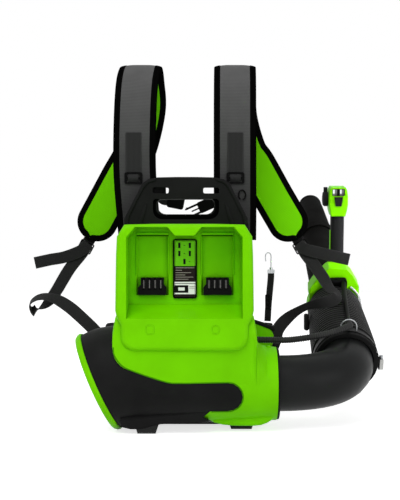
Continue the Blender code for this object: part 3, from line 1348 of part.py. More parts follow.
def lower_webbings():
    """On each side the adjusting webbing, from its ladder lock down to the plate, and its tail."""
    out = (0, -1, 0)
    lock_y = PAD_Y
    ladder_lock("ladder_lock_left", (-0.2168, lock_y, 0.3465), (-0.47, 0, -0.88), out)
    ladder_lock("ladder_lock_right", (0.2445, lock_y, 0.3470), (0.49, 0, -0.87), out)
    face = lock_y - 0.0025 - GAP - WEB_THICK / 2
    plate = PLATE_THICK + GAP + WEB_THICK / 2
    left = [(-0.2150, face, 0.3500), (-0.2240, face - 0.004, 0.3330), (-0.2500, 0.131, 0.2985),
            (-0.2794, 0.118, 0.2470), (-0.3000, 0.108, 0.2215), (-0.3225, 0.100, 0.2125),
            (-0.3275, 0.095, 0.2275), (-0.3130, 0.091, 0.2395), (-0.2935, 0.088, 0.2425),
            (-0.2700, 0.080, 0.2375), (-0.2420, 0.065, 0.2225), (-0.2176, 0.048, 0.2045),
            (-0.1901, 0.030, 0.1815), (-0.1650, 0.0205, 0.1560), (-0.1420, plate, 0.1330),
            (-0.1180, plate, 0.1120), (-0.0960, plate, 0.0920)]
    looks = [out, out, out, (-0.35, -0.9, -0.1), (-1, -0.15, 0.1), (-0.1, -0.5, 0.85), (0, -0.9, 0.4),
             out, out, out, out]
    ribbon("web_left", left, looks, WEB_WIDTH, WEB_THICK, webbing(), spacing=0.012)
    lift = face - WEB_THICK - GAP
    front = lift - 0.0014
    tail = [(-0.2155, front, 0.3475), (-0.2290, front - 0.0065, 0.3365), (-0.2600, 0.130, 0.3245),
            (-0.2900, 0.127, 0.3190), (-0.3220, 0.125, 0.3120)]
    ribbon("web_tail_left", tail, [out, out], WEB_WIDTH, WEB_THICK, webbing(), spacing=0.014)

    right = [(0.2430, face, 0.3500), (0.2530, face - 0.004, 0.3320), (0.2700, 0.135, 0.3090),
             (0.2870, 0.122, 0.2830), (0.3000, 0.105, 0.2585), (0.3125, 0.096, 0.2500),
             (0.3150, 0.090, 0.2425), (0.3080, 0.084, 0.2365), (0.2900, 0.076, 0.2320),
             (0.2500, 0.062, 0.2245), (0.2120, 0.048, 0.2040), (0.1870, 0.033, 0.1800),
             (0.1760, 0.0215, 0.1480), (0.1520, plate, 0.1080), (0.1180, plate, 0.0760), (0.0960, plate, 0.0620)]
    looks = [out, out, out, (0.5, -0.6, 0.4), (1, -0.1, 0), (0.3, -0.6, -0.5), out, out, out, out]
    ribbon("web_right", right, looks, WEB_WIDTH, WEB_THICK, webbing(), spacing=0.012)
    front = lift - 0.0022
    tail = [(0.2435, front, 0.3475), (0.2560, front - 0.0065, 0.3400), (0.2850, 0.130, 0.3330),
            (0.3130, 0.126, 0.3260), (0.3440, 0.124, 0.3190)]
    ribbon("web_tail_right", tail, [out, out], WEB_WIDTH, WEB_THICK, webbing(), spacing=0.014)


def chest_strap():
    """Chest webbing on the far side of the pads, and the open side-release buckle."""
    far = PAD_Y + PAD_THICK / 2 + GAP + WEB_THICK / 2
    away = (0, 1, 0)
    wide = 0.020
    left_frame = empty("buckle_left_frame", (-0.0235, far, 0.4425), (0, math.radians(11), 0))
    right_frame = empty("buckle_right_frame", (0.0385, far, 0.4350), (0, math.radians(-24), 0))
    left_turn = Matrix.LocRotScale(left_frame.location, left_frame.rotation_euler, None)
    right_turn = Matrix.LocRotScale(right_frame.location, right_frame.rotation_euler, None)
    left_end = [left_turn @ Vector((x, 0, 0)) for x in (-0.045, -0.030, -0.0152)]
    right_end = [right_turn @ Vector((x, 0, 0)) for x in (0.036, 0.020, 0.0037)]
    ribbon("chest_web_left", [(-0.160, far, 0.4700), (-0.110, far, 0.4620)] + left_end,
           [away, away], wide, WEB_THICK, webbing())
    ribbon("chest_web_right", [(0.170, far, 0.4760), (0.120, far, 0.4670)] + right_end,
           [away, away], wide, WEB_THICK, webbing())
    room = WEB_THICK / 2 + GAP

    bm = bmesh.new()
    prism(bm, rounded_box((-0.0190, -0.0140), (0.0175, 0.0140), 0.005, 3), "Y", -0.0045, 0.0045)
    socket = finish("buckle_socket", bm, black_plastic(), left_frame)
    bm = bmesh.new()
    box(bm, (-0.030, -room, -0.0112), (-0.0145, room, 0.0112))
    box(bm, (0.004, -0.0026, -0.0105), (0.030, 0.0026, 0.0105))
    boolean(socket, finish("socket_slots", bm, None, left_frame, hidden=True))

    bm = bmesh.new()
    prism(bm, rounded_box((-0.0150, -0.0125), (0.0190, 0.0125), 0.004, 3), "Y", -0.0036, 0.0036)
    plug = finish("buckle_plug", bm, black_plastic(), right_frame)
    bm = bmesh.new()
    for side in (-1, 1):
        outer, inner = side * 0.0105, side * 0.0070
        tip = side * 0.0125
        points = [(-0.013, inner), (-0.013, outer), (-0.034, outer), (-0.038, tip), (-0.044, side * 0.0085),
                  (-0.040, inner)]
        prism(bm, points, "Y", -0.0020, 0.0020)
    boolean(plug, finish("plug_prongs", bm, None, right_frame, hidden=True), "UNION")
    bm = bmesh.new()
    box(bm, (0.0030, -room, -0.0112), (0.030, room, 0.0112))
    boolean(plug, finish("plug_slot", bm, None, right_frame, hidden=True))


def storage_hook(hook_frame):
    """Narrow strap that stands on the hip pad, its ladder buckle and the swivelling wire hook."""
    x, y, top = hook_frame.location
    out = (0, -1, 0)
    ribbon("hook_strap", [(0.1672, y, HOOK_STRAP_LOW), (0.1690, y, 0.225), (0.1718, y, 0.257),
                          (x - 0.0003, y, top - 0.022), (x, y, top - 0.0075)],
           [out, out], HOOK_STRAP, WEB_THICK, webbing(), spacing=0.012)
    bm = bmesh.new()
    face = y - WEB_THICK / 2 - GAP
    prism(bm, rounded_box((0.1620, 0.2180), (0.1725, 0.2480), 0.002, 2), "Y", face - 0.0022, face)
    buckle = finish("hook_buckle", bm, black_plastic())
    bm = bmesh.new()
    for low in (0.2215, 0.2305, 0.2395):
        box(bm, (0.1645, 0.0, low), (0.1705, 0.1, low + 0.0045))
    boolean(buckle, finish("hook_buckle_slots", bm, None, hidden=True))

    bm = bmesh.new()
    prism(bm, rounded_box((-0.0075, -0.0120), (0.0075, -0.0040), 0.002, 2), "Y", -0.0030, 0.0030)
    eye = finish("hook_eye", bm, steel())
    eye.location = hook_frame.location
    bm = bmesh.new()
    turned(bm, [(0, -0.006), (0.0032, -0.006), (0.0032, 0.0), (0, 0.0)], 12, "Z")
    boss = finish("hook_boss", bm, None, hidden=True)
    boss.location = hook_frame.location
    boolean(eye, boss, "UNION")
    bm = bmesh.new()
    box(bm, (-HOOK_STRAP / 2 - 2 * GAP, -WEB_THICK / 2 - 2 * GAP, -0.03),
        (HOOK_STRAP / 2 + 2 * GAP, WEB_THICK / 2 + 2 * GAP, -0.0070))
    pocket = finish("hook_pocket", bm, None, hidden=True)
    pocket.location = hook_frame.location
    boolean(eye, pocket)
    bm = bmesh.new()
    turned(bm, [(0, -0.0035), (0.0016, -0.0035), (0.0016, 0.02), (0, 0.02)], 12, "Z")
    bore = finish("hook_bore", bm, None, hidden=True)
    bore.location = hook_frame.location
    boolean(eye, bore)
    points = [(0, 0, -0.0032), (0, 0, 0.004), (0, 0, 0.014), (0, 0, 0.0255), (-0.0018, 0, 0.0290),
              (-0.0056, 0, 0.0310), (-0.0094, 0, 0.0290), (-0.0112, 0, 0.0255), (-0.0114, 0, 0.0200),
              (-0.0106, 0, 0.0125)]
    cord("tool_hook", points, 0.0011, steel(), hook_frame)


def cables(hose_frame):
    """The ribbed conduit from the housing to the wire ring, and the cable from there to the handle."""
    place = Matrix.LocRotScale(hose_frame.location, hose_frame.rotation_euler, None)
    reach = CABLE_START
    held = reach - 0.0008
    lift = RING_LIFT
    end = [place @ Vector((-0.0179, held - 0.0429, lift + 0.0035)),
           place @ Vector((0.0030, held - 0.020, lift + 0.0010)), place @ Vector((0.0034, held - 0.008, lift)),
           place @ Vector((0.0036, held, lift))]
    points = [(TOWER_HALF - 0.003 + GAP, CONDUIT_Y, CONDUIT_Z), (TOWER_HALF + 0.012, CONDUIT_Y, CONDUIT_Z),
              (0.165, CONDUIT_Y, 0.1655), (0.205, CONDUIT_Y - 0.001, 0.1660), (0.262, CONDUIT_Y - 0.001, 0.1745)]
    cord("conduit", points + end, CONDUIT_RADIUS, black_plastic())
    run = [(0.0036, reach, lift), (0.0040, reach + 0.012, lift - 0.0008), (0.0070, -0.055, 0.0722),
           (0.0110, 0.020, 0.0695), (0.0150, 0.080, 0.0672), (CABLE_X, 0.116, CABLE_Z),
           (CABLE_X, HOSE_LENGTH / 2 - CLAMP_REACH + 0.0137, CABLE_Z)]
    cord("handle_cable", run, CABLE_RADIUS, black_plastic(), hose_frame)


def build():
    for item in list(bpy.data.objects):
        bpy.data.objects.remove(item, do_unlink=True)
    swing = empty("swing_frame", HOSE_MIDDLE, (math.radians(WAND_RISE), 0, math.radians(-WAND_YAW)))
    hose_frame = empty("hose_frame", HOSE_MIDDLE, (math.radians(WAND_RISE), 0, math.radians(-WAND_YAW)))
    fan_frame = empty("fan_frame", (0, FAN_Y, FAN_Z))
    tilt = math.radians(-90 - INTAKE_TILT)
    intake_frame = empty("intake_frame", (INTAKE_X, FAN_Y, INTAKE_Z), (0, tilt, 0))
    nozzle_frame = empty("nozzle_frame", (0, HOSE_LENGTH / 2 + 0.25, 0), parent=swing)
    handle_frame = empty("handle_frame", (HANDLE_X, HANDLE_Y, HANDLE_Z), (math.radians(-HANDLE_LEAN), 0, 0), swing)
    pin_frame = empty("pin_frame", (HANDLE_X, HANDLE_Y, HANDLE_Z), parent=swing)
    button_frame = empty("button_frame", (0, -HEAD_BACK, 0.1285), parent=handle_frame)
    lever_frame = empty("lever_frame", (-HEAD_HALF - GAP, 0.002, 0.133), parent=handle_frame)
    trigger_frame = empty("trigger_frame", (0, 0.014, 0.086), parent=handle_frame)
    hook_frame = empty("hook_frame", (0.1743, 0.0655, 0.3035))

    main_housing()
    lower_shell()
    intake(intake_frame)
    fan_parts(fan_frame)
    electronics()
    back_plate()
    base_frame()
    elbow()
    cuff_outside = hose(hose_frame)
    hose_fittings(hose_frame, cuff_outside)
    swivel_clamp(swing)
    wand(swing, nozzle_frame)
    handle(handle_frame)
    controls(handle_frame, button_frame, lever_frame, trigger_frame, pin_frame)
    shoulder_straps()
    back_and_hip_pads()
    harness_webbing()
    lower_webbings()
    chest_strap()
    storage_hook(hook_frame)
    cables(hose_frame)


build()
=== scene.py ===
# %% [markdown]
# # Dressing a backpack leaf blower
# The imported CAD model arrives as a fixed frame. It has every solid in its place, with bare triangles
# and no finish. This notebook adds what the eye looks for: stuffed straps, woven webbing, a ribbed
# hose, a label, screws, and a material for each plastic, metal and cloth.

# %% Load the frame
import json
import math

import bmesh
import bpy
from mathutils import Matrix, Vector

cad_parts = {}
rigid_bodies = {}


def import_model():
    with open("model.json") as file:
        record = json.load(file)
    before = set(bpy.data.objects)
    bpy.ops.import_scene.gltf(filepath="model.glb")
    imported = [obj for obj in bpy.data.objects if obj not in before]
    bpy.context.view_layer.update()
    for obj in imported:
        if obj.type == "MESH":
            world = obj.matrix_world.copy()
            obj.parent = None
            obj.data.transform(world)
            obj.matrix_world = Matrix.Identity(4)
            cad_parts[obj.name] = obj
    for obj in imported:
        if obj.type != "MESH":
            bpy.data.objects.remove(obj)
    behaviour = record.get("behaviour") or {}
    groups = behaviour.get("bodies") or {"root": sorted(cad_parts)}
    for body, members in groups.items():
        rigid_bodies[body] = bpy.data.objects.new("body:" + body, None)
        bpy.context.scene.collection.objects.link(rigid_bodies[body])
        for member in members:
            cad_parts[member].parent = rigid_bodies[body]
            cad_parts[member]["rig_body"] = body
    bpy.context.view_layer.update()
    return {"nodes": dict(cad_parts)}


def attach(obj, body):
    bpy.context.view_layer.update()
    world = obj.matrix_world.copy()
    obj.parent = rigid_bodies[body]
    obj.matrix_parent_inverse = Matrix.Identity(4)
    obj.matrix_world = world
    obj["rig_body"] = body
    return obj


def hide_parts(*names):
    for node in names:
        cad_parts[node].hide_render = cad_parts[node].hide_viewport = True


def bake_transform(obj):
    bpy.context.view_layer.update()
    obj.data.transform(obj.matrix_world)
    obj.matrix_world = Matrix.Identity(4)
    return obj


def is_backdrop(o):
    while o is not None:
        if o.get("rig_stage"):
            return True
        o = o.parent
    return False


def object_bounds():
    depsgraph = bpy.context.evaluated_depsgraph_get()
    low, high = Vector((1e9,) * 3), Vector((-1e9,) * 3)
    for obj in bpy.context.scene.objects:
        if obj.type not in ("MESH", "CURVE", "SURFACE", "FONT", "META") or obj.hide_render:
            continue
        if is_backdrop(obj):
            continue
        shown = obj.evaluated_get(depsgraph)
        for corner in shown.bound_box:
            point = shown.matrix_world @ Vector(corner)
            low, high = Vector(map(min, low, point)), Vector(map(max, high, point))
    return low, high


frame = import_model()

# %% [markdown]
# ## Camera
# The photograph was taken from in front of the battery side, level with the middle of the blower and
# from about two metres. A 72 mm lens on a 36 mm sensor gives the same flat perspective. The image is
# taller than wide, so the sensor's 36 mm span the 500 pixels of its height.

# %% Camera
lens = bpy.data.cameras.new("photo_lens")
lens.lens = 72
lens.sensor_width = 36
camera = bpy.data.objects.new("photo_camera", lens)
camera.location = (0.028, -1.995, 0.3395)
camera.rotation_euler = (math.radians(90), 0, 0)
bpy.context.scene.collection.objects.link(camera)
bpy.context.scene.camera = camera
bpy.context.scene.view_settings.view_transform = "Standard"
print("camera at", tuple(camera.location))

# %% [markdown]
# ## Small helpers for materials
# Colours are written as they are read on a screen, and one function turns them to the linear values
# that Blender's sockets take. One adds a node, and one sets a node's inputs or links them.


# %% Colour and node helpers
def linear(code):
    """A colour such as "74DC00" as linear red, green, blue and alpha."""
    parts = [int(code[i:i + 2], 16) / 255 for i in (0, 2, 4)]
    return tuple(p / 12.92 if p <= 0.04045 else ((p + 0.055) / 1.055) ** 2.4 for p in parts) + (1.0,)


def wire(tree, node, inputs):
    """Sets inputs; a value is a number, a colour, a socket, or a node, whose first output is meant."""
    for key, value in inputs.items():
        if isinstance(value, bpy.types.Node):
            value = value.outputs[0]
        if isinstance(value, bpy.types.NodeSocket):
            tree.links.new(value, node.inputs[key])
        else:
            node.inputs[key].default_value = value


def add_node(tree, kind, inputs=None, stops=(), **settings):
    """Adds a node with its settings and inputs; stops are the two ends of a colour ramp."""
    made = tree.nodes.new("ShaderNode" + kind)
    for key, value in settings.items():
        setattr(made, key, value)
    wire(tree, made, inputs or {})
    for number, (position, colour) in enumerate(stops):
        made.color_ramp.elements[number].position = position
        made.color_ramp.elements[number].color = linear(colour)
    return made


print("middle grey in linear values:", linear("808080"))

# %% [markdown]
# ## Background
# The world is white where the picture sees it, directly, in a reflection or through glass. As a light
# it is a softer grey, so that colours render about as they are written.


# %% World
def picture_rays(tree):
    """One for a ray that the picture shows, and zero for a ray that only carries light."""
    ray = add_node(tree, "LightPath").outputs
    seen = add_node(tree, "Math", {0: ray["Is Camera Ray"], 1: ray["Is Glossy Ray"]}, operation="MAXIMUM")
    return add_node(tree, "Math", {0: seen, 1: ray["Is Transmission Ray"]}, operation="MAXIMUM")


world = bpy.data.worlds.new("studio")
bpy.context.scene.world = world
world.use_nodes = True
sky = world.node_tree
sky.nodes.clear()
soft = add_node(sky, "Background", {"Color": linear("F8F8F8"), "Strength": 0.5})
white = add_node(sky, "Background", {"Color": linear("FFFFFF"), "Strength": 1.0})
both = add_node(sky, "MixShader", {0: picture_rays(sky), 1: soft, 2: white})
add_node(sky, "OutputWorld", {"Surface": both})
print("world nodes:", len(sky.nodes))

# %% [markdown]
# ## Studio lamps
# A packshot has a broad soft lamp above and in front, a weaker one from the other side and a rim lamp
# behind. A small narrow one brightens the green clamp at the head of the wand.


# %% Lamps
def lamp(name, place, aim, size, power, spread=180):
    """A square area lamp that points at a spot; spread narrows its cone."""
    light = bpy.data.lights.new(name, "AREA")
    light.size = size
    light.energy = power
    light.spread = math.radians(spread)
    made = bpy.data.objects.new(name, light)
    made.location = place
    made.rotation_euler = (Vector(aim) - Vector(place)).to_track_quat("-Z", "Y").to_euler()
    bpy.context.scene.collection.objects.link(made)


lamp("key_lamp", (-0.6, -1.6, 2.2), (0, 0, 0.3), size=1.6, power=31)
lamp("fill_lamp", (1.7, -1.9, 0.8), (0.05, 0, 0.3), size=1.4, power=11)
lamp("rim_lamp", (0.3, 1.9, 1.9), (0, 0, 0.35), size=1.4, power=3)
lamp("wand_lamp", (1.3, -0.45, 0.62), (0.455, 0.27, 0.36), size=0.3, power=0.8, spread=20)
print("lamps:", len(bpy.data.lights))

# %% [markdown]
# ## Floor
# The floor is pale paint with hardly any speck. A glow that only the picture sees lifts it nearly to
# white, and it keeps a faint shadow under the blower.

# %% Floor
FLOOR_GLOW = 0.72
bpy.ops.object.select_all(action="DESELECT")
bpy.ops.mesh.primitive_circle_add(vertices=96, radius=6.0, fill_type="NGON", location=(0, 0, -0.0006))
floor = bpy.context.object
floor.name = "pale_floor"
paint = bpy.data.materials.new("pale_studio_floor")
paint.use_nodes = True
tree = paint.node_tree
tree.nodes.clear()
place = add_node(tree, "TexCoord").outputs["Object"]
speck = add_node(tree, "TexNoise", {"Vector": place, "Scale": 40.0, "Detail": 2.0})
tint = add_node(tree, "ValToRGB", {"Fac": speck}, [(0.3, "EDEDED"), (0.7, "F2F2F2")])
matt = add_node(tree, "BsdfDiffuse", {"Color": tint})
share = add_node(tree, "Math", {0: picture_rays(tree), 1: FLOOR_GLOW}, operation="MULTIPLY")
glow = add_node(tree, "Emission", {"Color": linear("FFFFFF"), "Strength": share})
total = add_node(tree, "AddShader", {0: matt, 1: glow})
add_node(tree, "OutputMaterial", {"Surface": total})
floor.data.materials.append(paint)
floor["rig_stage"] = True
print("floor nodes:", len(tree.nodes))

# %% [markdown]
# ## Moulded plastics
# Nearly every hard part is injection moulded. What the eye reads is a satin surface from the eroded
# steel of the mould, a slow drift of tone from wall thickness, and edges that catch light because
# they are never quite sharp. The Bevel node rounds the shaded edge of the CAD triangles by a
# millimetre, and the same rounded normal, set against the true one, finds edges and curves, which
# are painted paler: partly wear from hands, partly painted highlight.


# %% A moulded plastic
DRIFT_MM = 55


def new_material(name, roughness, specular=0.5, metallic=0.0):
    """A Principled material, with its tree, its shader and the object's coordinates."""
    made = bpy.data.materials.new(name)
    made.use_nodes = True
    tree = made.node_tree
    shader = tree.nodes["Principled BSDF"]
    wire(tree, shader, {"Roughness": roughness, "Specular IOR Level": specular, "Metallic": metallic})
    return made, tree, shader, add_node(tree, "TexCoord").outputs["Object"]


def repaint(tree, factor, colour, **settings):
    """Mixes a colour into the base colour that a material has so far."""
    shader = tree.nodes["Principled BSDF"]
    tone = shader.inputs["Base Color"].links[0].from_socket
    mix = add_node(tree, "Mix", {0: factor, 6: tone, 7: colour}, data_type="RGBA", **settings)
    wire(tree, shader, {"Base Color": mix.outputs[2]})


def moulded(name, colour, deep, wear_and_highlight, roughness, specular, grain_mm, grain, round_mm):
    """Injection-moulded plastic; grain is drawn near 1 mm, about three times coarser than the real."""
    made, tree, shader, place = new_material(name, roughness, specular)
    drift = add_node(tree, "TexNoise", {"Vector": place, "Scale": 1000 / DRIFT_MM, "Detail": 3.0})
    tone = add_node(tree, "ValToRGB", {"Fac": drift}, [(0.32, deep), (0.68, colour)])
    satin = add_node(tree, "MapRange", {"Value": drift, "From Min": 0.3, "From Max": 0.7,
                                        "To Min": roughness + 0.04, "To Max": roughness - 0.04})
    soft_edge = add_node(tree, "Bevel", {"Radius": round_mm / 1000}, samples=4)
    spark = add_node(tree, "TexNoise", {"Vector": place, "Scale": 1000 / grain_mm, "Detail": 2.0})
    bump = add_node(tree, "Bump", {"Height": spark, "Normal": soft_edge, "Strength": grain,
                                   "Distance": 0.0004})
    wire(tree, shader, {"Base Color": tone, "Roughness": satin, "Normal": bump})
    # Edges and curves are painted paler: partly wear, partly painted highlight.
    true = add_node(tree, "NewGeometry").outputs["True Normal"]
    same = add_node(tree, "VectorMath", {0: soft_edge, 1: true}, operation="DOT_PRODUCT").outputs["Value"]
    rub_and_highlight = add_node(tree, "MapRange", {"Value": same, "From Min": 0.995, "From Max": 0.86, "To Max": 0.5})
    repaint(tree, add_node(tree, "Math", {0: rub_and_highlight, 1: drift}, operation="MULTIPLY"), linear(wear_and_highlight))
    return made


def painted_crevice_shade(material, reach, low):
    """Paints shade into a plastic's corners and joints, darkening its colour by ambient occlusion."""
    tree = material.node_tree
    near = add_node(tree, "AmbientOcclusion", {"Distance": reach}, samples=6).outputs["AO"]
    shade = add_node(tree, "MapRange", {"Value": near, "From Min": 0.25, "From Max": 0.85, "To Min": low})
    repaint(tree, 1.0, shade, blend_type="MULTIPLY")


# %% [markdown]
# Each plastic has a colour, a deeper tone for its drift and a paler one for its edges, partly wear and
# partly painted highlight, then its roughness, its specular level, its grain in millimetres, how
# strong that grain is, and its edge.

# %% The plastics and rubbers
lime_abs = moulded("lime_moulded_abs", "78DA00", "72D000", "88EC10", 0.42, 0.045, 0.9, 0.08, 1.5)
black_nylon = moulded("black_glass_filled_nylon", "181818", "131313", "262626", 0.52, 0.06, 1.1, 0.16, 1.4)
tube_nylon = moulded("black_blow_moulded_nylon", "0D0D0C", "090908", "1E1E1E", 0.6, 0.005, 1.1, 0.1, 1.4)
elbow_pp = moulded("satin_black_polypropylene", "171818", "131414", "242525", 0.4, 0.12, 0.8, 0.05, 1.5)
grip_rubber = moulded("charcoal_soft_touch_rubber", "1D1D1E", "19191A", "2A2A2B", 0.62, 0.06, 1.2, 0.3, 1.4)
gloss_abs = moulded("gloss_black_abs", "0B0B0B", "080808", "161616", 0.3, 0.05, 0.7, 0.02, 0.5)
buckle_acetal = moulded("black_acetal", "0A0A0A", "070707", "161616", 0.42, 0.04, 0.8, 0.08, 0.6)
base_nylon = moulded("dark_grey_filled_nylon", "2C2C2C", "252525", "3A3A3A", 0.56, 0.06, 1.1, 0.16, 1.4)
# Dark lime for painted shadow under the lips of the battery bays.
lime_painted_shadow = moulded("lime_abs_painted_shadow", "2F6C00", "275E00", "3C7C08", 0.6, 0.0, 0.9, 0.08, 0.4)
# Darker lime of the border lip: painted shade under the shell's edge.
lime_lip_painted_shade = moulded("lime_abs_border_lip_painted_shade", "4A9408", "428804", "56A210", 0.5, 0.02, 0.9, 0.08, 0.8)
duct_pa = moulded("grey_fan_polyamide", "35373A", "2F3134", "4A4C50", 0.45, 0.2, 0.9, 0.1, 0.7)
hose_rubber = moulded("blown_hose_elastomer", "161616", "111111", "2C2C2C", 0.5, 0.1, 1.2, 0.15, 0.6)
conduit_pa = moulded("corrugated_conduit_polyamide", "2A2A2A", "222222", "505050", 0.46, 0.12, 0.8, 0.05,
                     0.4)
cable_pvc = moulded("black_pvc_jacket", "0A0A0A", "070707", "161616", 0.5, 0.03, 0.8, 0.08, 0.6)
liner_rubber = moulded("black_edge_rubber", "060606", "040404", "0B0B0B", 0.7, 0.0, 0.9, 0.1, 0.8)
# Near-white ring at the hose end: its colour is a painted highlight.
pale_ring = moulded("pale_hose_ring_painted_highlight", "D2D3D4", "C8C9CA", "E0E0E0", 0.35, 0.3, 0.8, 0.03, 0.5)
# Painted shade: the lime is darkened in its corners, joints and recesses.
painted_crevice_shade(lime_abs, 0.012, 0.55)
print("plastics and rubbers so far:", len(bpy.data.materials))

# %% [markdown]
# ## Metals
# The hook and the ring are bright zinc-plated wire, drawn, so fine lines run along them. The band is
# blackened strip, the heat sink is a die casting with a sandy skin, and the terminal blades are
# nickel-plated copper. A metal keeps the default IOR and takes its look from colour, roughness and
# small scratches.


# %% A worked metal
def worked_metal(name, colour, deep, roughness, line_mm, stretch, relief):
    """A metal whose fine lines or sandy skin come from one stretched noise."""
    made, tree, shader, place = new_material(name, roughness, metallic=1.0)
    pull = add_node(tree, "Mapping", {"Vector": place, "Scale": stretch})
    lines = add_node(tree, "TexNoise", {"Vector": pull, "Scale": 1000 / line_mm, "Detail": 3.0})
    tone = add_node(tree, "ValToRGB", {"Fac": lines}, [(0.3, deep), (0.7, colour)])
    polish = add_node(tree, "MapRange", {"Value": lines, "From Min": 0.3, "From Max": 0.7,
                                         "To Min": roughness - 0.06, "To Max": roughness + 0.08})
    bump = add_node(tree, "Bump", {"Height": lines, "Strength": relief, "Distance": 0.0002})
    wire(tree, shader, {"Base Color": tone, "Roughness": polish, "Normal": bump})
    return made


zinc_wire = worked_metal("zinc_plated_wire", "C9CBCD", "9A9DA0", 0.28, 1.0, (1, 1, 0.15), 0.1)
blued_band = worked_metal("black_oxide_steel_band", "101011", "070708", 0.5, 1.0, (0.2, 1, 0.2), 0.1)
bright_screw = worked_metal("stainless_screw_steel", "A6A8AA", "83868A", 0.3, 0.8, (1, 0.3, 1), 0.12)
cast_alloy = worked_metal("die_cast_aluminium", "B4B6B8", "8E9194", 0.46, 1.2, (1, 1, 1), 0.35)
nickel_blade = worked_metal("nickel_plated_copper", "8E8C88", "6E6C68", 0.34, 0.8, (0.2, 1, 1), 0.06)
motor_steel = worked_metal("turned_motor_steel", "9C9FA2", "787B7E", 0.32, 0.8, (1, 0.2, 0.2), 0.12)
print("metals made, materials so far:", len(bpy.data.materials))

# %% [markdown]
# The CAD's terminal piece is a comb: four blades on one plate. On the blower only the blades shine, and
# what holds them is black moulding, so the material changes by depth. The screw housing of the band
# clamp is bright zinc, unlike its blackened band, so there the metal changes where the housing stands.

# %% Black root of the blades, bright housing of the clamp
BLADE_ROOT_Y = -0.1307
HOUSING_X = 0.386


def object_place(tree):
    """The object's own X, Y and Z as three outputs."""
    return add_node(tree, "SeparateXYZ", {0: add_node(tree, "TexCoord").outputs["Object"]}).outputs


tree = nickel_blade.node_tree
root = add_node(tree, "Math", {0: object_place(tree)[1], 1: BLADE_ROOT_Y}, operation="GREATER_THAN")
repaint(tree, root, linear("0A0A0A"))
shine = add_node(tree, "Math", {0: 1.0, 1: root}, operation="SUBTRACT")
wire(tree, tree.nodes["Principled BSDF"], {"Metallic": shine})
tree = blued_band.node_tree
zinc = add_node(tree, "MapRange", {"Value": object_place(tree)[0], "From Min": HOUSING_X,
                                   "From Max": HOUSING_X + 0.001})
repaint(tree, zinc, linear("A8A8A6"))
print("blades are black behind y =", BLADE_ROOT_Y, "and the clamp is bright past x =", HOUSING_X)

# %% [markdown]
# ## Cloths
# Three cloths make the harness. The outer face of the straps is a grey knitted mesh with fine cross
# rows, the wearer's side is a lime spacer fabric, and edges are bound with black grosgrain tape. The
# patterns follow each piece's own UV map, which is written in metres: across in U, along in V. A real
# knit row is 1 mm, which the picture can't show, so rows are drawn at 3 mm. Grosgrain has no shine.


# %% Knitted and woven cloth
WAVE_MM = 314.16  # a wave texture of scale 1 repeats after this many millimetres


def yarns(tree, flat, size_mm, direction, distortion, **softness):
    """Bands of yarn, one for each size_mm, as a value that swings between zero and one."""
    return add_node(tree, "TexWave", {"Vector": flat, "Scale": WAVE_MM / size_mm, "Distortion": distortion,
                                      **softness},
                    wave_type="BANDS", bands_direction=direction).outputs["Fac"]


def cloth(name, colour, deep, row_mm, column_mm, relief, fuzz, specular=0.08, from_object=False, painted_shade_below=None):
    """Rows across and columns along make the height; a ramp of painted shade darkens the cloth below a
    length of V.
    """
    made, tree, shader, place = new_material(name, 0.88, specular)
    flat = place if from_object else add_node(tree, "UVMap", uv_map="UVMap").outputs[0]
    soft = {"Detail": 1.0, "Detail Scale": 2.0}
    rows = yarns(tree, flat, row_mm, "Z" if from_object else "Y", 0.4, **soft)
    columns = yarns(tree, flat, column_mm, "X", 0.3, **soft)
    knit = add_node(tree, "Mix", {0: 0.45, 2: rows, 3: columns}, data_type="FLOAT")
    cloudy = add_node(tree, "TexNoise", {"Vector": place, "Scale": 1 / 0.03, "Detail": 4.0})
    height = add_node(tree, "Mix", {0: 0.35, 2: knit, 3: cloudy}, data_type="FLOAT")
    tone = add_node(tree, "ValToRGB", {"Fac": height}, [(0.2, deep), (0.8, colour)])
    bump = add_node(tree, "Bump", {"Height": knit, "Strength": relief, "Distance": 0.0006})
    wrinkle = add_node(tree, "Bump", {"Height": cloudy, "Strength": 0.25, "Distance": 0.002, "Normal": bump})
    wire(tree, shader, {"Base Color": tone, "Normal": wrinkle, "Sheen Weight": fuzz,
                        "Sheen Roughness": 0.45})
    # Painted shade: the cloth is darker below a length of V.
    if painted_shade_below:
        run = add_node(tree, "SeparateXYZ", {0: flat}).outputs[1]
        painted_dimming = add_node(tree, "MapRange", {"Value": run, "From Min": painted_shade_below[0], "From Max": painted_shade_below[1],
                                          "To Min": painted_shade_below[2]})
        repaint(tree, 1.0, painted_dimming, blend_type="MULTIPLY")
    return made


# The grey mesh is painted darker towards the low end of each strap: painted shade, with the upper part left
# lighter as if lit from above.
grey_mesh = cloth("grey_knitted_mesh", "626262", "4E4E4E", 3.0, 2.2, 0.5, 0.1, painted_shade_below=(0.06, 0.36, 0.36))
lime_spacer = cloth("lime_spacer_fabric", "74D600", "68C400", 3.2, 3.0, 0.3, 0.03)
black_tape = cloth("black_grosgrain_tape", "090909", "050505", 1.6, 6.0, 0.15, 0.0, specular=0.0)
black_mesh = cloth("black_air_mesh", "242425", "161617", 3.5, 3.5, 0.6, 0.08, from_object=True)
print("cloths:", grey_mesh.name, lime_spacer.name, black_tape.name, black_mesh.name)

# %% [markdown]
# Webbing is a heavier weave: nylon yarns run lengthwise in fine ribs, with a tighter, slightly
# lighter selvedge along both edges. U is zero in its middle, so the selvedge is found from U alone.


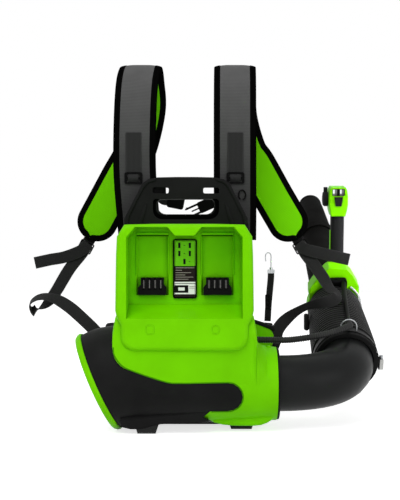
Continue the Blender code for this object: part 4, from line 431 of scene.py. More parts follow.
# %% Webbing
def woven_webbing(name, colour, deep, half_mm):
    """Ribbed nylon webbing with a selvedge; half_mm is half its width."""
    made, tree, shader, _ = new_material(name, 0.66, 0.08)
    flat = add_node(tree, "UVMap", uv_map="UVMap").outputs[0]
    ribs = yarns(tree, flat, 2.5, "X", 0.0)
    picks = yarns(tree, flat, 2.0, "Y", 0.6)
    weave = add_node(tree, "Math", {0: ribs, 1: picks}, operation="MULTIPLY")
    across = add_node(tree, "Math", {0: add_node(tree, "SeparateXYZ", {0: flat})}, operation="ABSOLUTE")
    edge = add_node(tree, "MapRange", {"Value": across, "From Min": half_mm / 1000 - 0.003,
                                       "From Max": half_mm / 1000 - 0.001, "To Max": 0.35})
    height = add_node(tree, "Math", {0: weave, 1: edge}, operation="ADD")
    tone = add_node(tree, "ValToRGB", {"Fac": height}, [(0.0, deep), (1.0, colour)])
    bump = add_node(tree, "Bump", {"Height": height, "Strength": 0.5, "Distance": 0.0005})
    wire(tree, shader, {"Base Color": tone, "Normal": bump, "Sheen Weight": 0.04})
    return made


webbing_25 = woven_webbing("nylon_webbing_25mm", "2E2E2E", "1A1A1A", 12.5)
patch_webbing = woven_webbing("nylon_patch_32mm", "363636", "202020", 16.0)
webbing_12 = woven_webbing("nylon_webbing_12mm", "242424", "141414", 5.75)
print("webbings:", webbing_25.name, patch_webbing.name, webbing_12.name)

# %% [markdown]
# ## A finish for every CAD node
# The CAD solids that are right as they are keep their shape. Small ones only change material. The
# larger round ones are loose flat triangles, which would show as facets, so a copy of each is merged,
# its flat areas are dissolved to one face, and it is shaded smooth, with the normals weighted by area
# so that flats stay flat beside curves. The copy then stands for the node.


# %% Smooth copies
def own_copy(source, name):
    """A copy of an object with a mesh of its own, selected and active."""
    made = source.copy()
    made.data = source.data.copy()
    made.name = name
    bpy.context.scene.collection.objects.link(made)
    select_only(made)
    return made


def select_only(made):
    """Operators then act on this object and no other."""
    bpy.ops.object.select_all(action="DESELECT")
    made.select_set(True)
    bpy.context.view_layer.objects.active = made


def smooth_moulding(node, finish):
    """A merged, smooth-shaded copy of a CAD node."""
    source = frame["nodes"][node]
    made = own_copy(source, node + "_moulding")
    made.parent = None
    for key in list(made.keys()):
        del made[key]
    bpy.ops.object.mode_set(mode="EDIT")
    bpy.ops.mesh.select_all(action="SELECT")
    bpy.ops.mesh.customdata_custom_splitnormals_clear()
    bpy.ops.mesh.remove_doubles(threshold=2e-6)
    bpy.ops.mesh.dissolve_limited(angle_limit=math.radians(0.4))
    bpy.ops.object.mode_set(mode="OBJECT")
    bpy.ops.object.shade_smooth_by_angle(angle=math.radians(36))
    step = made.modifiers.new("even_shade", "WEIGHTED_NORMAL")
    step.keep_sharp = True
    bpy.ops.object.modifier_apply(modifier=step.name)
    made.data.materials.clear()
    made.data.materials.append(finish)
    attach(made, source["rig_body"])
    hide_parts(node)


# %% Finishes of the CAD nodes
smooth_finishes = {
    lime_abs: ["main_housing", "intake_trim", "swivel_clamp", "handle_head"],
    black_nylon: ["lower_shell", "intake_grille", "back_plate", "hose_cuff", "outlet_flange"],
    base_nylon: ["base_frame"],
    tube_nylon: ["wand_tube", "locking_collar", "nozzle"],
    elbow_pp: ["outlet_elbow"],
    grip_rubber: ["handle_grip", "boost_button", "cruise_lever", "trigger"],
    duct_pa: ["fan_duct", "impeller", "stator", "tail_cone"],
    blued_band: ["band_clamp"],
}
finishes = {
    gloss_abs: ["terminal_block_left", "terminal_block_right", "window_insert"],
    buckle_acetal: ["buckle_plug", "buckle_socket", "hook_buckle", "ladder_lock_left", "ladder_lock_right",
                    "triglide_left", "triglide_right", "strap_ring"],
    zinc_wire: ["tool_hook", "conduit_ring", "hook_eye"],
    bright_screw: ["pivot_bolt", "band_screw"],
    cast_alloy: ["controller_heat_sink"],
    nickel_blade: ["terminal_blades_left", "terminal_blades_right"],
    motor_steel: ["motor_case", "motor_rotor"],
}
for finish, names in smooth_finishes.items():
    for name in names:
        smooth_moulding(name, finish)
for finish, names in finishes.items():
    for name in names:
        slots = frame["nodes"][name].data.materials
        slots.clear()
        slots.append(finish)
print("smooth copies:", sum(len(names) for names in smooth_finishes.values()),
      "finished nodes:", sum(len(names) for names in finishes.values()))

# %% [markdown]
# ## Smooth lines
# Straps, webbings, hose and cables all follow lines. A curve of third degree passes through the points
# where the CAD put them, and is then read again at an even spacing, so that patterns keep their size.


# %% Lines
def smooth_line(points, per_span):
    """Points of a smooth curve through the given ones."""
    points = [Vector(p) for p in points]
    full = [2 * points[0] - points[1]] + points + [2 * points[-1] - points[-2]]
    line = []
    for i in range(1, len(full) - 2):
        a, b, c, d = full[i - 1:i + 3]
        for k in range(per_span):
            t = k / per_span
            line.append(0.5 * (2 * b + (c - a) * t + (2 * a - 5 * b + 4 * c - d) * t * t
                               + (3 * b - a - 3 * c + d) * t ** 3))
    return line + [points[-1]]


def even_line(points, spacing):
    """The same curve at an even spacing."""
    fine = smooth_line(points, 40)
    lengths = [0.0]
    for a, b in zip(fine, fine[1:]):
        lengths.append(lengths[-1] + (b - a).length)
    count = max(2, round(lengths[-1] / spacing))
    line = []
    k = 0
    for i in range(count + 1):
        wanted = lengths[-1] * i / count
        while k < len(lengths) - 2 and lengths[k + 1] < wanted:
            k += 1
        share = (wanted - lengths[k]) / max(lengths[k + 1] - lengths[k], 1e-12)
        line.append(fine[k].lerp(fine[k + 1], min(max(share, 0.0), 1.0)))
    return line


def frames_along(line, looks):
    """At each point: where it is, its side, its outer face's direction and the length so far."""
    faces = smooth_line(looks, 12)
    rows = []
    length = 0.0
    last = len(line) - 1
    for i, point in enumerate(line):
        if i:
            length += (point - line[i - 1]).length
        along = (line[min(i + 2, last)] - line[max(i - 2, 0)]).normalized()
        share = i / last * (len(faces) - 1)
        k = min(int(share), len(faces) - 2)
        look = faces[k].lerp(faces[k + 1], share - k)
        side = along.cross(look).normalized()
        rows.append((point, side, side.cross(along).normalized(), length))
    return rows


# %% [markdown]
# One function skins rings of points into a closed piece. Each ring point brings its own UV pair and
# the number of its material, so one strap can have mesh on one face, lining on the other and tape
# round its edge.


# %% Skinning rings
def skin(name, rings, materials, zones=None, smooth=50.0, cap=True):
    """rings: rows of (point, u, v). zones: material number of each side of the ring."""
    bm = bmesh.new()
    layer = bm.loops.layers.uv.new("UVMap")
    rows = []
    flat = {}
    for ring in rings:
        row = []
        for point, u, v in ring:
            vert = bm.verts.new(point)
            flat[vert] = (u, v)
            row.append(vert)
        rows.append(row)
    count = len(rows[0])
    for low, high in zip(rows, rows[1:]):
        for i in range(count):
            j = (i + 1) % count
            face = bm.faces.new((low[i], low[j], high[j], high[i]))
            face.material_index = zones[i] if zones else 0
    if cap:
        bm.faces.new(rows[0])
        bm.faces.new(rows[-1])
    for face in bm.faces:
        for loop in face.loops:
            loop[layer].uv = flat[loop.vert]
    bmesh.ops.remove_doubles(bm, verts=bm.verts, dist=2e-6)
    bmesh.ops.dissolve_degenerate(bm, edges=bm.edges, dist=1e-6)
    bmesh.ops.recalc_face_normals(bm, faces=bm.faces)
    mesh = bpy.data.meshes.new(name)
    bm.to_mesh(mesh)
    bm.free()
    for finish in materials:
        mesh.materials.append(finish)
    mesh.shade_smooth()
    mesh.set_sharp_from_angle(angle=math.radians(smooth))
    made = bpy.data.objects.new(name, mesh)
    bpy.context.scene.collection.objects.link(made)
    return made


# %% [markdown]
# ## Shoulder straps
# Each strap is a laminated foam pad, 86 mm wide and about 12 mm thick in its middle. It rises from the
# back pad, rolls over the shoulder and comes down in front, where it ends in a half circle. Because it
# turns over, we see the grey mesh on the near run and the lime lining on the far one. The crown
# depends on the distance from the nearest edge, so it also closes round the end. The bound tape stands
# just proud of the cloth.

# %% A section of the strap
PAD_HALF = 0.0432
PAD_THICK = 0.012
CROWN = 0.03
TAPE_WIDTH = 0.0128
MESH, LINING, TAPE = 0, 1, 2
ACROSS = 10
upper_tape = [(0.03, 1, 0.0006), (0.35, 1, 0.0008), (0.75, 1, 0.0004), (0.96, 1, -0.0004), (1.0, 0.25, 0.0)]
tape_shape = upper_tape + [(share, -level, proud) for share, level, proud in reversed(upper_tape)]
strap_zones = ([MESH] * ACROSS + [TAPE] * (len(tape_shape) + 1)
               + [LINING] * ACROSS + [TAPE] * (len(tape_shape) + 1))


def pad_height(edge):
    """Half the pad's thickness at a distance from its edge."""
    rise = min(max(edge / CROWN, 0.0), 1.0)
    return PAD_THICK / 2 * (0.42 + 0.58 * math.sin(rise * math.pi / 2))


def strap_ring(row, before_end):
    """One section of the strap: mesh, tape, lining and tape again."""
    point, side, up, length = row
    beyond = max(PAD_HALF - before_end, 0.0)
    half = math.sqrt(max(PAD_HALF ** 2 - beyond ** 2, 1e-10))
    inner = math.sqrt(max((PAD_HALF - TAPE_WIDTH) ** 2 - beyond ** 2, 1e-10))

    def spot(x, level, proud):
        tall = pad_height(PAD_HALF - math.hypot(x, beyond))
        z = math.copysign(tall + proud, level) if abs(level) > 0.5 else tall * level * 2
        return (point + side * x + up * z, x, length)

    ring = []
    for face in (1, -1):
        ring += [spot(face * inner * (2 * k / ACROSS - 1), face, 0.0) for k in range(ACROSS + 1)]
        ring += [spot(face * (inner + (half - inner) * share), face * level, proud)
                 for share, level, proud in tape_shape]
    return ring


print("strap section:", len(strap_zones), "points,", 2000 * PAD_HALF, "mm wide")

# %% Strap pads
BACK, OVER, AHEAD = (0, -1, 0), (0, 0.05, 1), (0, 1, 0)
strap_looks = [BACK] * 4 + [(0, -1, 0.4), OVER, (0, 1, 0.4)] + [AHEAD] * 4
strap_lines = {
    "left": [(-0.093, 0.03, 0.36), (-0.0975, 0.03, 0.41), (-0.1042, 0.031, 0.5), (-0.104, 0.034, 0.6),
             (-0.1005, 0.048, 0.68), (-0.094, 0.085, 0.7183), (-0.09, 0.122, 0.69), (-0.0885, 0.138, 0.637),
             (-0.109, 0.145, 0.554), (-0.1436, 0.149, 0.49), (-0.191, 0.15, 0.402), (-0.2115, 0.15, 0.3625)],
    "right": [(0.0985, 0.03, 0.36), (0.099, 0.03, 0.41), (0.099, 0.031, 0.5), (0.099, 0.034, 0.6),
              (0.0995, 0.048, 0.68), (0.1008, 0.085, 0.7183), (0.103, 0.122, 0.69), (0.107, 0.138, 0.621),
              (0.1264, 0.145, 0.5535), (0.148, 0.148, 0.5205), (0.182, 0.15, 0.4596), (0.2168, 0.15, 0.3996),
              (0.238, 0.15, 0.3625)],
}
for label, points in strap_lines.items():
    rows = frames_along(even_line(points, 0.004), strap_looks)
    total = rows[-1][3]
    rings = [strap_ring(row, total - row[3]) for row in rows if total - row[3] > PAD_HALF]
    for angle in (4, 12, 20, 28, 36, 44, 52, 60, 68, 75, 81, 86, 89):
        wanted = total - PAD_HALF * (1 - math.sin(math.radians(angle)))
        k = next(i for i, row in enumerate(rows) if row[3] >= wanted - 1e-9)
        low, high = rows[k - 1], rows[k]
        share = (wanted - low[3]) / (high[3] - low[3])
        row = (low[0].lerp(high[0], share), high[1], high[2], wanted)
        rings.append(strap_ring(row, total - wanted))
    strap = skin("strap_pad_" + label, rings, [grey_mesh, lime_spacer, black_tape], strap_zones)
    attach(strap, "main")
    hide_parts("shoulder_strap_" + label)
    print(strap.name, len(strap.data.polygons), "faces, length %.3f m" % total)

# %% [markdown]
# ## Webbing
# All flat bands are one recipe: a section with rounded, slightly thinner edges, drawn along the CAD's
# own line. A loose end is folded back once and sewn, so its last 20 mm are twice as thick.


# %% Webbing strips
WEB_THICK = 0.0016
web_section = [(-1.0, 0.0), (-0.985, 0.38), (-0.9, 0.5), (-0.45, 0.47), (0.0, 0.5), (0.45, 0.47), (0.9, 0.5),
               (0.985, 0.38), (1.0, 0.0), (0.985, -0.38), (0.9, -0.5), (0.0, -0.5), (-0.9, -0.5),
               (-0.985, -0.38)]


def webbing_strip(name, node, points, looks, width, finish, spacing=0.004, hem=0.0):
    """A webbing along a line; hem is the length of a folded end, node the solid it stands for."""
    rows = frames_along(even_line(points, spacing), looks)
    total = rows[-1][3]
    half = width / 2
    rings = []
    for point, side, up, length in rows:
        full = WEB_THICK * (1.9 if total - length < hem else 1.0)
        rings.append([(point + side * half * x + up * full * z, half * x, length) for x, z in web_section])
    made = skin(name, rings, [finish], smooth=60)
    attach(made, "main")
    if node:
        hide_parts(node)
    print(name, "%.0f mm long" % (1000 * total))


# %% [markdown]
# The lower webs run from the strap ends down to the back plate's foot. A ladder lock holds each, and
# its free tail comes out in front of the web, so each face's place is worked out from the pieces that
# lie under it. Looks are the directions that the outer face turns to along the run.

# %% Lower webs and their tails
GAP = 0.0003
PLATE_Y = 0.016
STRAP_Y = 0.15
LOCK_HALF = 0.0025
OUT = (0, -1, 0)
PLATE_FACE = PLATE_Y + GAP + WEB_THICK / 2
LOCK_FACE = STRAP_Y - LOCK_HALF - GAP - WEB_THICK / 2
TAIL_FACE = LOCK_FACE - WEB_THICK - GAP
web_runs = {
    "left": ([(-0.204, 0.1582, 0.374), (-0.2092, 0.1562, 0.3625), (-0.214, 0.15, 0.354),
              (-0.2165, LOCK_FACE, 0.348), (-0.224, LOCK_FACE - 0.004, 0.333), (-0.25, 0.131, 0.2985),
              (-0.2794, 0.118, 0.247), (-0.3, 0.108, 0.2215), (-0.3225, 0.1, 0.2125),
              (-0.3275, 0.095, 0.2275), (-0.313, 0.091, 0.2395), (-0.2935, 0.088, 0.2425),
              (-0.27, 0.08, 0.2375), (-0.242, 0.065, 0.2225), (-0.2176, 0.048, 0.2045),
              (-0.1901, 0.03, 0.1815), (-0.165, 0.0205, 0.156), (-0.142, PLATE_FACE, 0.133),
              (-0.118, PLATE_FACE, 0.112), (-0.096, PLATE_FACE, 0.092)],
             [OUT] * 3 + [(-0.35, -0.9, -0.1), (-1, -0.15, 0.1), (-0.1, -0.5, 0.85), (0, -0.9, 0.4)]
             + [OUT] * 4),
    "right": ([(0.233, 0.1582, 0.374), (0.2382, 0.1562, 0.3625), (0.242, 0.15, 0.3545),
               (0.2445, LOCK_FACE, 0.349), (0.253, LOCK_FACE - 0.004, 0.332), (0.27, 0.135, 0.309),
               (0.287, 0.122, 0.283), (0.3, 0.105, 0.2585), (0.3125, 0.096, 0.25),
               (0.315, 0.09, 0.2425), (0.308, 0.084, 0.2365), (0.29, 0.076, 0.232),
               (0.25, 0.062, 0.2245), (0.212, 0.048, 0.204), (0.187, 0.033, 0.18),
               (0.176, 0.0215, 0.148), (0.152, PLATE_FACE, 0.108), (0.118, PLATE_FACE, 0.076),
               (0.096, PLATE_FACE, 0.062)],
              [OUT] * 3 + [(0.5, -0.6, 0.4), (1, -0.1, 0), (0.3, -0.6, -0.5)] + [OUT] * 4),
}
tails = {
    "left": [(-0.2098, TAIL_FACE - 0.0014, 0.353), (-0.216, TAIL_FACE - 0.0014, 0.3465),
             (-0.229, TAIL_FACE - 0.0079, 0.3365), (-0.26, 0.13, 0.3245), (-0.29, 0.127, 0.319),
             (-0.322, 0.125, 0.312)],
    "right": [(0.2376, TAIL_FACE - 0.0018, 0.353), (0.2438, TAIL_FACE - 0.0022, 0.3465),
              (0.256, TAIL_FACE - 0.0087, 0.34), (0.285, 0.13, 0.333), (0.313, 0.126, 0.326),
              (0.344, 0.124, 0.319)],
}
for label, (points, looks) in web_runs.items():
    webbing_strip("web_run_" + label, "web_" + label, points, looks, 0.0255, webbing_25)
for label, points in tails.items():
    webbing_strip("tail_" + label, "web_tail_" + label, points, [OUT, OUT], 0.025, webbing_25, hem=0.02)

# %% [markdown]
# High on each strap a wide patch is sewn down, and a short loop holds the tri-glide under it. The two
# halves of the chest strap cross the far side and meet at the open buckle, one web passes behind the
# plate's slot, and a narrow one carries the hook.

# %% Patches, loops, chest strap and hook strap
FAR_FACE = STRAP_Y + PAD_THICK / 2 + GAP + WEB_THICK / 2
for x, label in ((-0.1064, "left"), (0.0995, "right")):
    patch = [(x, 0.0229 + 0.035 * max(0.0, z - 0.5), z) for z in (0.497, 0.52, 0.548, 0.577)]
    webbing_strip("lifter_patch_" + label, "lifter_web_" + label, patch, [OUT, OUT], 0.032, patch_webbing)
    loop = [(x, y, 0.4845 + rise) for y, rise in ((0.0232, 0.008), (0.019, 0.004), (0.0176, 0.0),
                                                  (0.019, -0.004), (0.0232, -0.008))]
    webbing_strip("glide_loop_" + label, None, loop, [OUT, OUT], 0.021, patch_webbing, spacing=0.002)
buckle_place = {}
for label, x, z, turn, start, along in (
        ("left", -0.0235, 0.4425, 11, [(-0.15, 0.489), (-0.105, 0.484), (-0.074, 0.472)], (-0.03, -0.0152)),
        ("right", 0.0385, 0.435, -24, [(0.17, 0.476), (0.12, 0.467)], (0.036, 0.02, 0.0037))):
    buckle_place[label] = Matrix.Translation((x, FAR_FACE, z)) @ Matrix.Rotation(math.radians(turn), 4, "Y")
    points = [(a, FAR_FACE, b) for a, b in start] + [buckle_place[label] @ Vector((a, 0, 0)) for a in along]
    webbing_strip("chest_strip_" + label, "chest_web_" + label, points, [AHEAD, AHEAD], 0.02, webbing_25)
webbing_strip("slot_web", None, [(-0.08, 0.019, 0.46), (-0.06, 0.019, 0.4606), (-0.0405, 0.019, 0.4612)],
              [OUT, OUT], 0.02, webbing_25)
hook_points = [(x, 0.0655, z) for x, z in (
    (0.1672, 0.1928), (0.169, 0.225), (0.1718, 0.257), (0.174, 0.2815), (0.1743, 0.296))]
webbing_strip("hook_strip", "hook_strap", hook_points, [OUT, OUT], 0.0135, webbing_12)

# %% [markdown]
# ## Tubes along a line
# The conduit and the cable to the handle are round. The conduit's sleeve is corrugated: its radius
# swings between two values at each rib, which gives the fine light lines across it. The wand's own
# frame, swing, has the wand along Y. The conduit ends in the ring on the hose, and the cable runs on
# from there to the clamp; like the hose, the cable rides on neither body.


# %% Tubes
def tube(name, points, radius_at, finish, sides, spacing):
    """A round tube whose radius may change along its length."""
    up = (0, 0, 1)
    rings = []
    for point, side, top, length in frames_along(even_line(points, spacing), [up, up]):
        radius = radius_at(length)
        ring = []
        for k in range(sides):
            angle = 2 * math.pi * k / sides
            spot = point + side * radius * math.cos(angle) + top * radius * math.sin(angle)
            ring.append((spot, radius * angle, length))
        rings.append(ring)
    return skin(name, rings, [finish], smooth=70)


swing = Matrix.Translation((0.3225, 0.1216, 0.1669)) @ Matrix.Rotation(math.radians(-1.8), 4, "Z") \
    @ Matrix.Rotation(math.radians(21), 4, "X")
HELD, LIFT = -0.1163, 0.0765
CORRUGATION = 0.0044
conduit_line = [(0.1223, -0.06, 0.166), (0.137, -0.06, 0.166), (0.165, -0.06, 0.1655),
                (0.205, -0.061, 0.166), (0.262, -0.061, 0.1745)]
conduit_line += [swing @ Vector(p) for p in (
    (-0.0179, HELD - 0.0429, LIFT + 0.0035), (0.003, HELD - 0.02, LIFT + 0.001),
    (0.0034, HELD - 0.008, LIFT), (0.0036, HELD, LIFT))]
cable_line = [swing @ Vector(p) for p in (
    (0.0036, -0.1155, LIFT), (0.004, -0.1035, LIFT - 0.0008), (0.007, -0.055, 0.0722), (0.011, 0.02, 0.0695),
    (0.015, 0.08, 0.0672), (0.0185, 0.116, 0.066), (0.0185, 0.1387, 0.066))]
sleeve = tube("conduit_sleeve", conduit_line,
              lambda s: 0.006 + 0.0007 * math.cos(2 * math.pi * s / CORRUGATION), conduit_pa, 20,
              CORRUGATION / 4)
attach(sleeve, "main")
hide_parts("conduit")
cable = tube("grip_cable", cable_line, lambda s: 0.0048, cable_pvc, 20, 0.003)
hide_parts("handle_cable")
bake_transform(cable)
print("tubes:", sleeve.name, cable.name)

# %% [markdown]
# ## The ribbed hose
# The hose is turned from a profile of rounded ribs, about 10 mm from crest to crest, with a plain cuff
# at each end and a bore, because it is a real tube. It joins the housing and the wand, and it rides
# on neither of them. The last section lies on the first and is merged with it, so it only carries U
# on.

# %% Hose
HOSE_RIBS = 22
HOSE_HALF, CUFF, TAPER = 0.1375, 0.028, 0.03
START, STOP = -HOSE_HALF + 0.002, HOSE_HALF + 0.012
RIBS_FROM = START + CUFF
PITCH = (HOSE_HALF - TAPER - RIBS_FROM) / HOSE_RIBS
FIRST_RIB, LAST_RIB = 0.0655, 0.059
HOSE_SIDES = 64
HOSE_ROUND = 0.4
rib_shape = [(0.14, -0.0025), (0.24, -0.0008), (0.38, 0.0), (0.52, 0.0001), (0.66, 0.0), (0.8, -0.0008),
             (0.92, -0.0025)]
profile = [(0.0585, START), (0.0592, START + 0.001), (0.0592, RIBS_FROM - 0.002), (0.06, RIBS_FROM)]
for k in range(HOSE_RIBS):
    top = FIRST_RIB + (LAST_RIB - FIRST_RIB) * (k / (HOSE_RIBS - 1)) ** 1.3
    profile += [(top + drop, RIBS_FROM + PITCH * (k + share)) for share, drop in rib_shape]
profile += [(0.056, HOSE_HALF - TAPER), (0.0545, HOSE_HALF - 0.022), (0.0542, HOSE_HALF - 0.014),
            (0.0542, STOP), (0.0517, STOP), (0.0517, HOSE_HALF - 0.018), (0.054, HOSE_HALF - TAPER - 0.01),
            (0.0605, -0.04), (0.054, RIBS_FROM + 0.01), (0.054, START)]
rings = []
for k in range(HOSE_SIDES):
    angle = 2 * math.pi * k / HOSE_SIDES
    rings.append([(swing @ Vector((r * math.cos(angle), y, r * math.sin(angle))), r * angle, y)
                  for r, y in profile])
rings.append([(point, u + HOSE_ROUND, v) for point, u, v in rings[0]])
hose = skin("ribbed_hose", rings, [hose_rubber], smooth=60, cap=False)
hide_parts("flex_hose")
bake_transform(hose)
print("hose:", len(hose.data.polygons), "faces")

# %% [markdown]
# The crests of the ribs are painted lighter, a painted highlight, and the grooves between them nearly
# black, a painted shade. V is the length along the hose in metres, so a cosine of V, one turn to a
# rib, finds the crests.

# %% Painted highlight on the crests
tree = hose_rubber.node_tree
run = add_node(tree, "SeparateXYZ", {0: add_node(tree, "UVMap", uv_map="UVMap")}).outputs[1]
turns = add_node(tree, "Math", {0: run, 1: -RIBS_FROM}, operation="ADD")
turns = add_node(tree, "Math", {0: turns, 1: 2 * math.pi / PITCH}, operation="MULTIPLY")
wave = add_node(tree, "Math", {0: turns}, operation="COSINE")
# Painted highlight on the rib crests, painted shade in the grooves.
crest_highlight = add_node(tree, "MapRange", {"Value": wave, "From Min": 0.2, "From Max": -1.0})
painted_crest_light = add_node(tree, "Mix", {0: crest_highlight, 6: linear("050505"), 7: linear("2B2B2B")}, data_type="RGBA")
repaint(tree, 0.75, painted_crest_light.outputs[2])
print("ribs every %.1f mm" % (1000 * PITCH))

# %% [markdown]
# ## Back pad and hip pad
# These are stuffed mesh cushions, so they are inflated with a cloth simulation: a slightly small
# closed form is remeshed evenly, blown up for twenty steps, and held to a few millimetres of swelling.
# Channels are pressed in afterwards, and the face that lies on the plate is made flat again.


# %% Stuffed pads
PLATE_BACK = PLATE_Y + GAP
STEPS = 20


def inflate(form, name, most, flat_within):
    """Swells a closed mesh with cloth by at most so much, then keeps it off the plate behind it."""
    made = own_copy(form, name)
    bpy.data.objects.remove(form)
    made.data.remesh_voxel_size = 0.005
    bpy.ops.object.voxel_remesh()
    before = [v.co.copy() for v in made.data.vertices]
    step = made.modifiers.new("stuffing", "CLOTH")
    step.settings.use_pressure = True
    step.settings.uniform_pressure_force = 4.0
    step.settings.effector_weights.gravity = 0.0
    step.settings.quality = 5
    step.point_cache.frame_start = 1
    step.point_cache.frame_end = STEPS
    for number in range(1, STEPS + 1):
        bpy.context.scene.frame_set(number)
    bpy.ops.object.modifier_apply(modifier=step.name)
    bpy.context.scene.frame_set(1)
    for vert, was in zip(made.data.vertices, before):
        move = vert.co - was
        if move.length > most:
            vert.co = was + move.normalized() * most
        if abs(vert.co.x) < flat_within:
            vert.co.y = max(vert.co.y, PLATE_BACK)
    return made


def channel(offset, deep, wide):
    """How far a sewn channel pulls the cloth in, at an offset from its seam."""
    return deep * math.exp(-(offset / wide) ** 2)


def finish_cushion(made, node):
    """Subdivides the cushion once, shades it smooth and lets it stand for its solid."""
    select_only(made)
    step = made.modifiers.new("soft", "SUBSURF")
    step.levels = 1
    step.render_levels = 1
    bpy.ops.object.modifier_apply(modifier=step.name)
    made.data.shade_smooth()
    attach(made, "main")
    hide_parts(node)
    print(made.name, len(made.data.polygons), "faces")


# %% [markdown]
# The back pad is a rounded slab between the straps, with two upright channels and three short level
# ones between them.

# %% Back pad
CUSHION_LOW, CUSHION_HIGH = 0.207, 0.395
rings = []
for k in range(25):
    share = k / 24
    z = CUSHION_LOW + (CUSHION_HIGH - CUSHION_LOW) * share
    bound = math.sin(math.pi * min(max(share, 0.015), 0.985)) ** 0.28
    width = 0.137 * (1 - 0.06 * abs(2 * share - 1) ** 5)
    ring = []
    for i in range(29):
        x = -width + 2 * width * i / 28
        y = PLATE_BACK + 0.004 + 0.019 * bound * (1 - 0.8 * (abs(x) / width) ** 6)
        ring.append((Vector((x, y, z)), x, z))
    ring += [(Vector((width, PLATE_BACK, z)), x, z), (Vector((-width, PLATE_BACK, z)), x, z)]
    rings.append(ring)
cushion = inflate(skin("pad_form", rings, [black_mesh]), "back_cushion", 0.006, 0.2)
for vert in cushion.data.vertices:
    if vert.co.y > PLATE_BACK + 0.006:
        for seam in (-0.045, 0.045):
            vert.co.y -= channel(vert.co.x - seam, 0.009, 0.0055)
        if abs(vert.co.x) < 0.045:
            for seam in (0.253, 0.301, 0.349):
                vert.co.y -= channel(vert.co.z - seam, 0.005, 0.0045)
        vert.co.y = max(vert.co.y, PLATE_BACK)
finish_cushion(cushion, "back_pad")

# %% [markdown]
# The hip pad is a long roll that lies on the plate and bends forward at both ends, round the wearer's
# hips. Its section is a flattened oval that gets lower towards the ends.

# %% Hip pad
HIP_Y = PLATE_BACK + 0.0075
HIP_Z = 0.167
hip_path = [(x, y, 0) for x, y in (
    (-0.162, 0.076), (-0.14, 0.052), (-0.11, HIP_Y + 0.006), (-0.06, HIP_Y), (0.0, HIP_Y), (0.06, HIP_Y),
    (0.112, HIP_Y + 0.006), (0.148, 0.052), (0.175, 0.076))]
line = [Vector((p.x, max(p.y, HIP_Y), 0)) for p in even_line(hip_path, 0.006)]
rings = []
last = len(line) - 1
for i, point in enumerate(line):
    along = (line[min(i + 1, last)] - line[max(i - 1, 0)]).normalized()
    out = Vector((-along.y, along.x, 0))
    tall = 0.031 * (1 - 0.3 * abs(2 * i / last - 1) ** 4)
    ring = []
    for k in range(24):
        c, s = math.cos(2 * math.pi * k / 24), math.sin(2 * math.pi * k / 24)
        rise = tall * math.copysign(abs(c) ** 0.6, c)
        swell = 0.0066 * math.copysign(abs(s) ** 0.7, s)
        ring.append((Vector((point.x, point.y, HIP_Z + rise)) + out * swell, 0, 0))
    rings.append(ring)
hip = inflate(skin("hip_form", rings, [black_mesh]), "hip_cushion", 0.004, 0.095)
for vert in hip.data.vertices:
    if vert.co.y > PLATE_BACK + 0.01:
        for seam in (-0.095, 0.0, 0.095):
            vert.co.y -= channel(vert.co.x - seam, 0.004, 0.005)
finish_cushion(hip, "hip_pad")

# %% [markdown]
# ## Small moulded and fitted details by hand
# The next pieces are made as by hand: a primitive, shaped in edit mode, finished with modifiers. One
# helper adds a box, one softens edges, one settles a piece so that its object sits at the origin, and
# block does all three.


# %% Working by hand
def start_cube(name, centre, size):
    """A box of a given size, as the active object, all its parts selected."""
    bpy.ops.object.select_all(action="DESELECT")
    bpy.ops.mesh.primitive_cube_add(size=1.0, location=centre)
    made = bpy.context.object
    made.name = name
    made.scale = size
    bpy.ops.object.transform_apply(location=False, rotation=False, scale=True)
    return made


def bevel(made, width, segments, angle=40.0):
    """A live bevel on the sharp edges, applied when the piece settles."""
    step = made.modifiers.new("edge", "BEVEL")
    step.width = width
    step.segments = segments
    step.limit_method = "ANGLE"
    step.angle_limit = math.radians(angle)


def settle(made, finish, body="main", smooth=30.0):
    """Applies place and turn, sets the finish and lets the piece ride on a body."""
    bpy.ops.object.mode_set(mode="OBJECT")
    select_only(made)
    for step in list(made.modifiers):
        bpy.ops.object.modifier_apply(modifier=step.name)
    bpy.ops.object.transform_apply(location=True, rotation=True, scale=True)
    bpy.ops.object.shade_smooth_by_angle(angle=math.radians(smooth))
    made.data.materials.clear()
    made.data.materials.append(finish)
    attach(made, body)


def block(name, place, size, edge, segments, finish, body="main"):
    """A box with soft edges; place is its centre, or a matrix that also turns it."""
    turned = isinstance(place, Matrix)
    made = start_cube(name, (0, 0, 0) if turned else place, size)
    if turned:
        made.matrix_world = place
    bevel(made, edge, segments)
    settle(made, finish, body)


# %% [markdown]
# ## The label between the bays
# On the blower a printed film in a black surround sits between the battery bays. It stays free of
# words here: a lime field with five dark charge bars, a brown band with plain rules, and a white band.
# The surround is a slab whose four corners are rounded, with its front pushed back inside a rim.

# %% Films and surround
WALL_Y = -0.13
LABEL_Z = 0.3045


def film(name, colour, deep):
    """A smooth printed film; its edges get neither wear nor painted highlight."""
    return moulded(name, colour, deep, colour, 0.3, 0.08, 0.8, 0.02, 0.3)


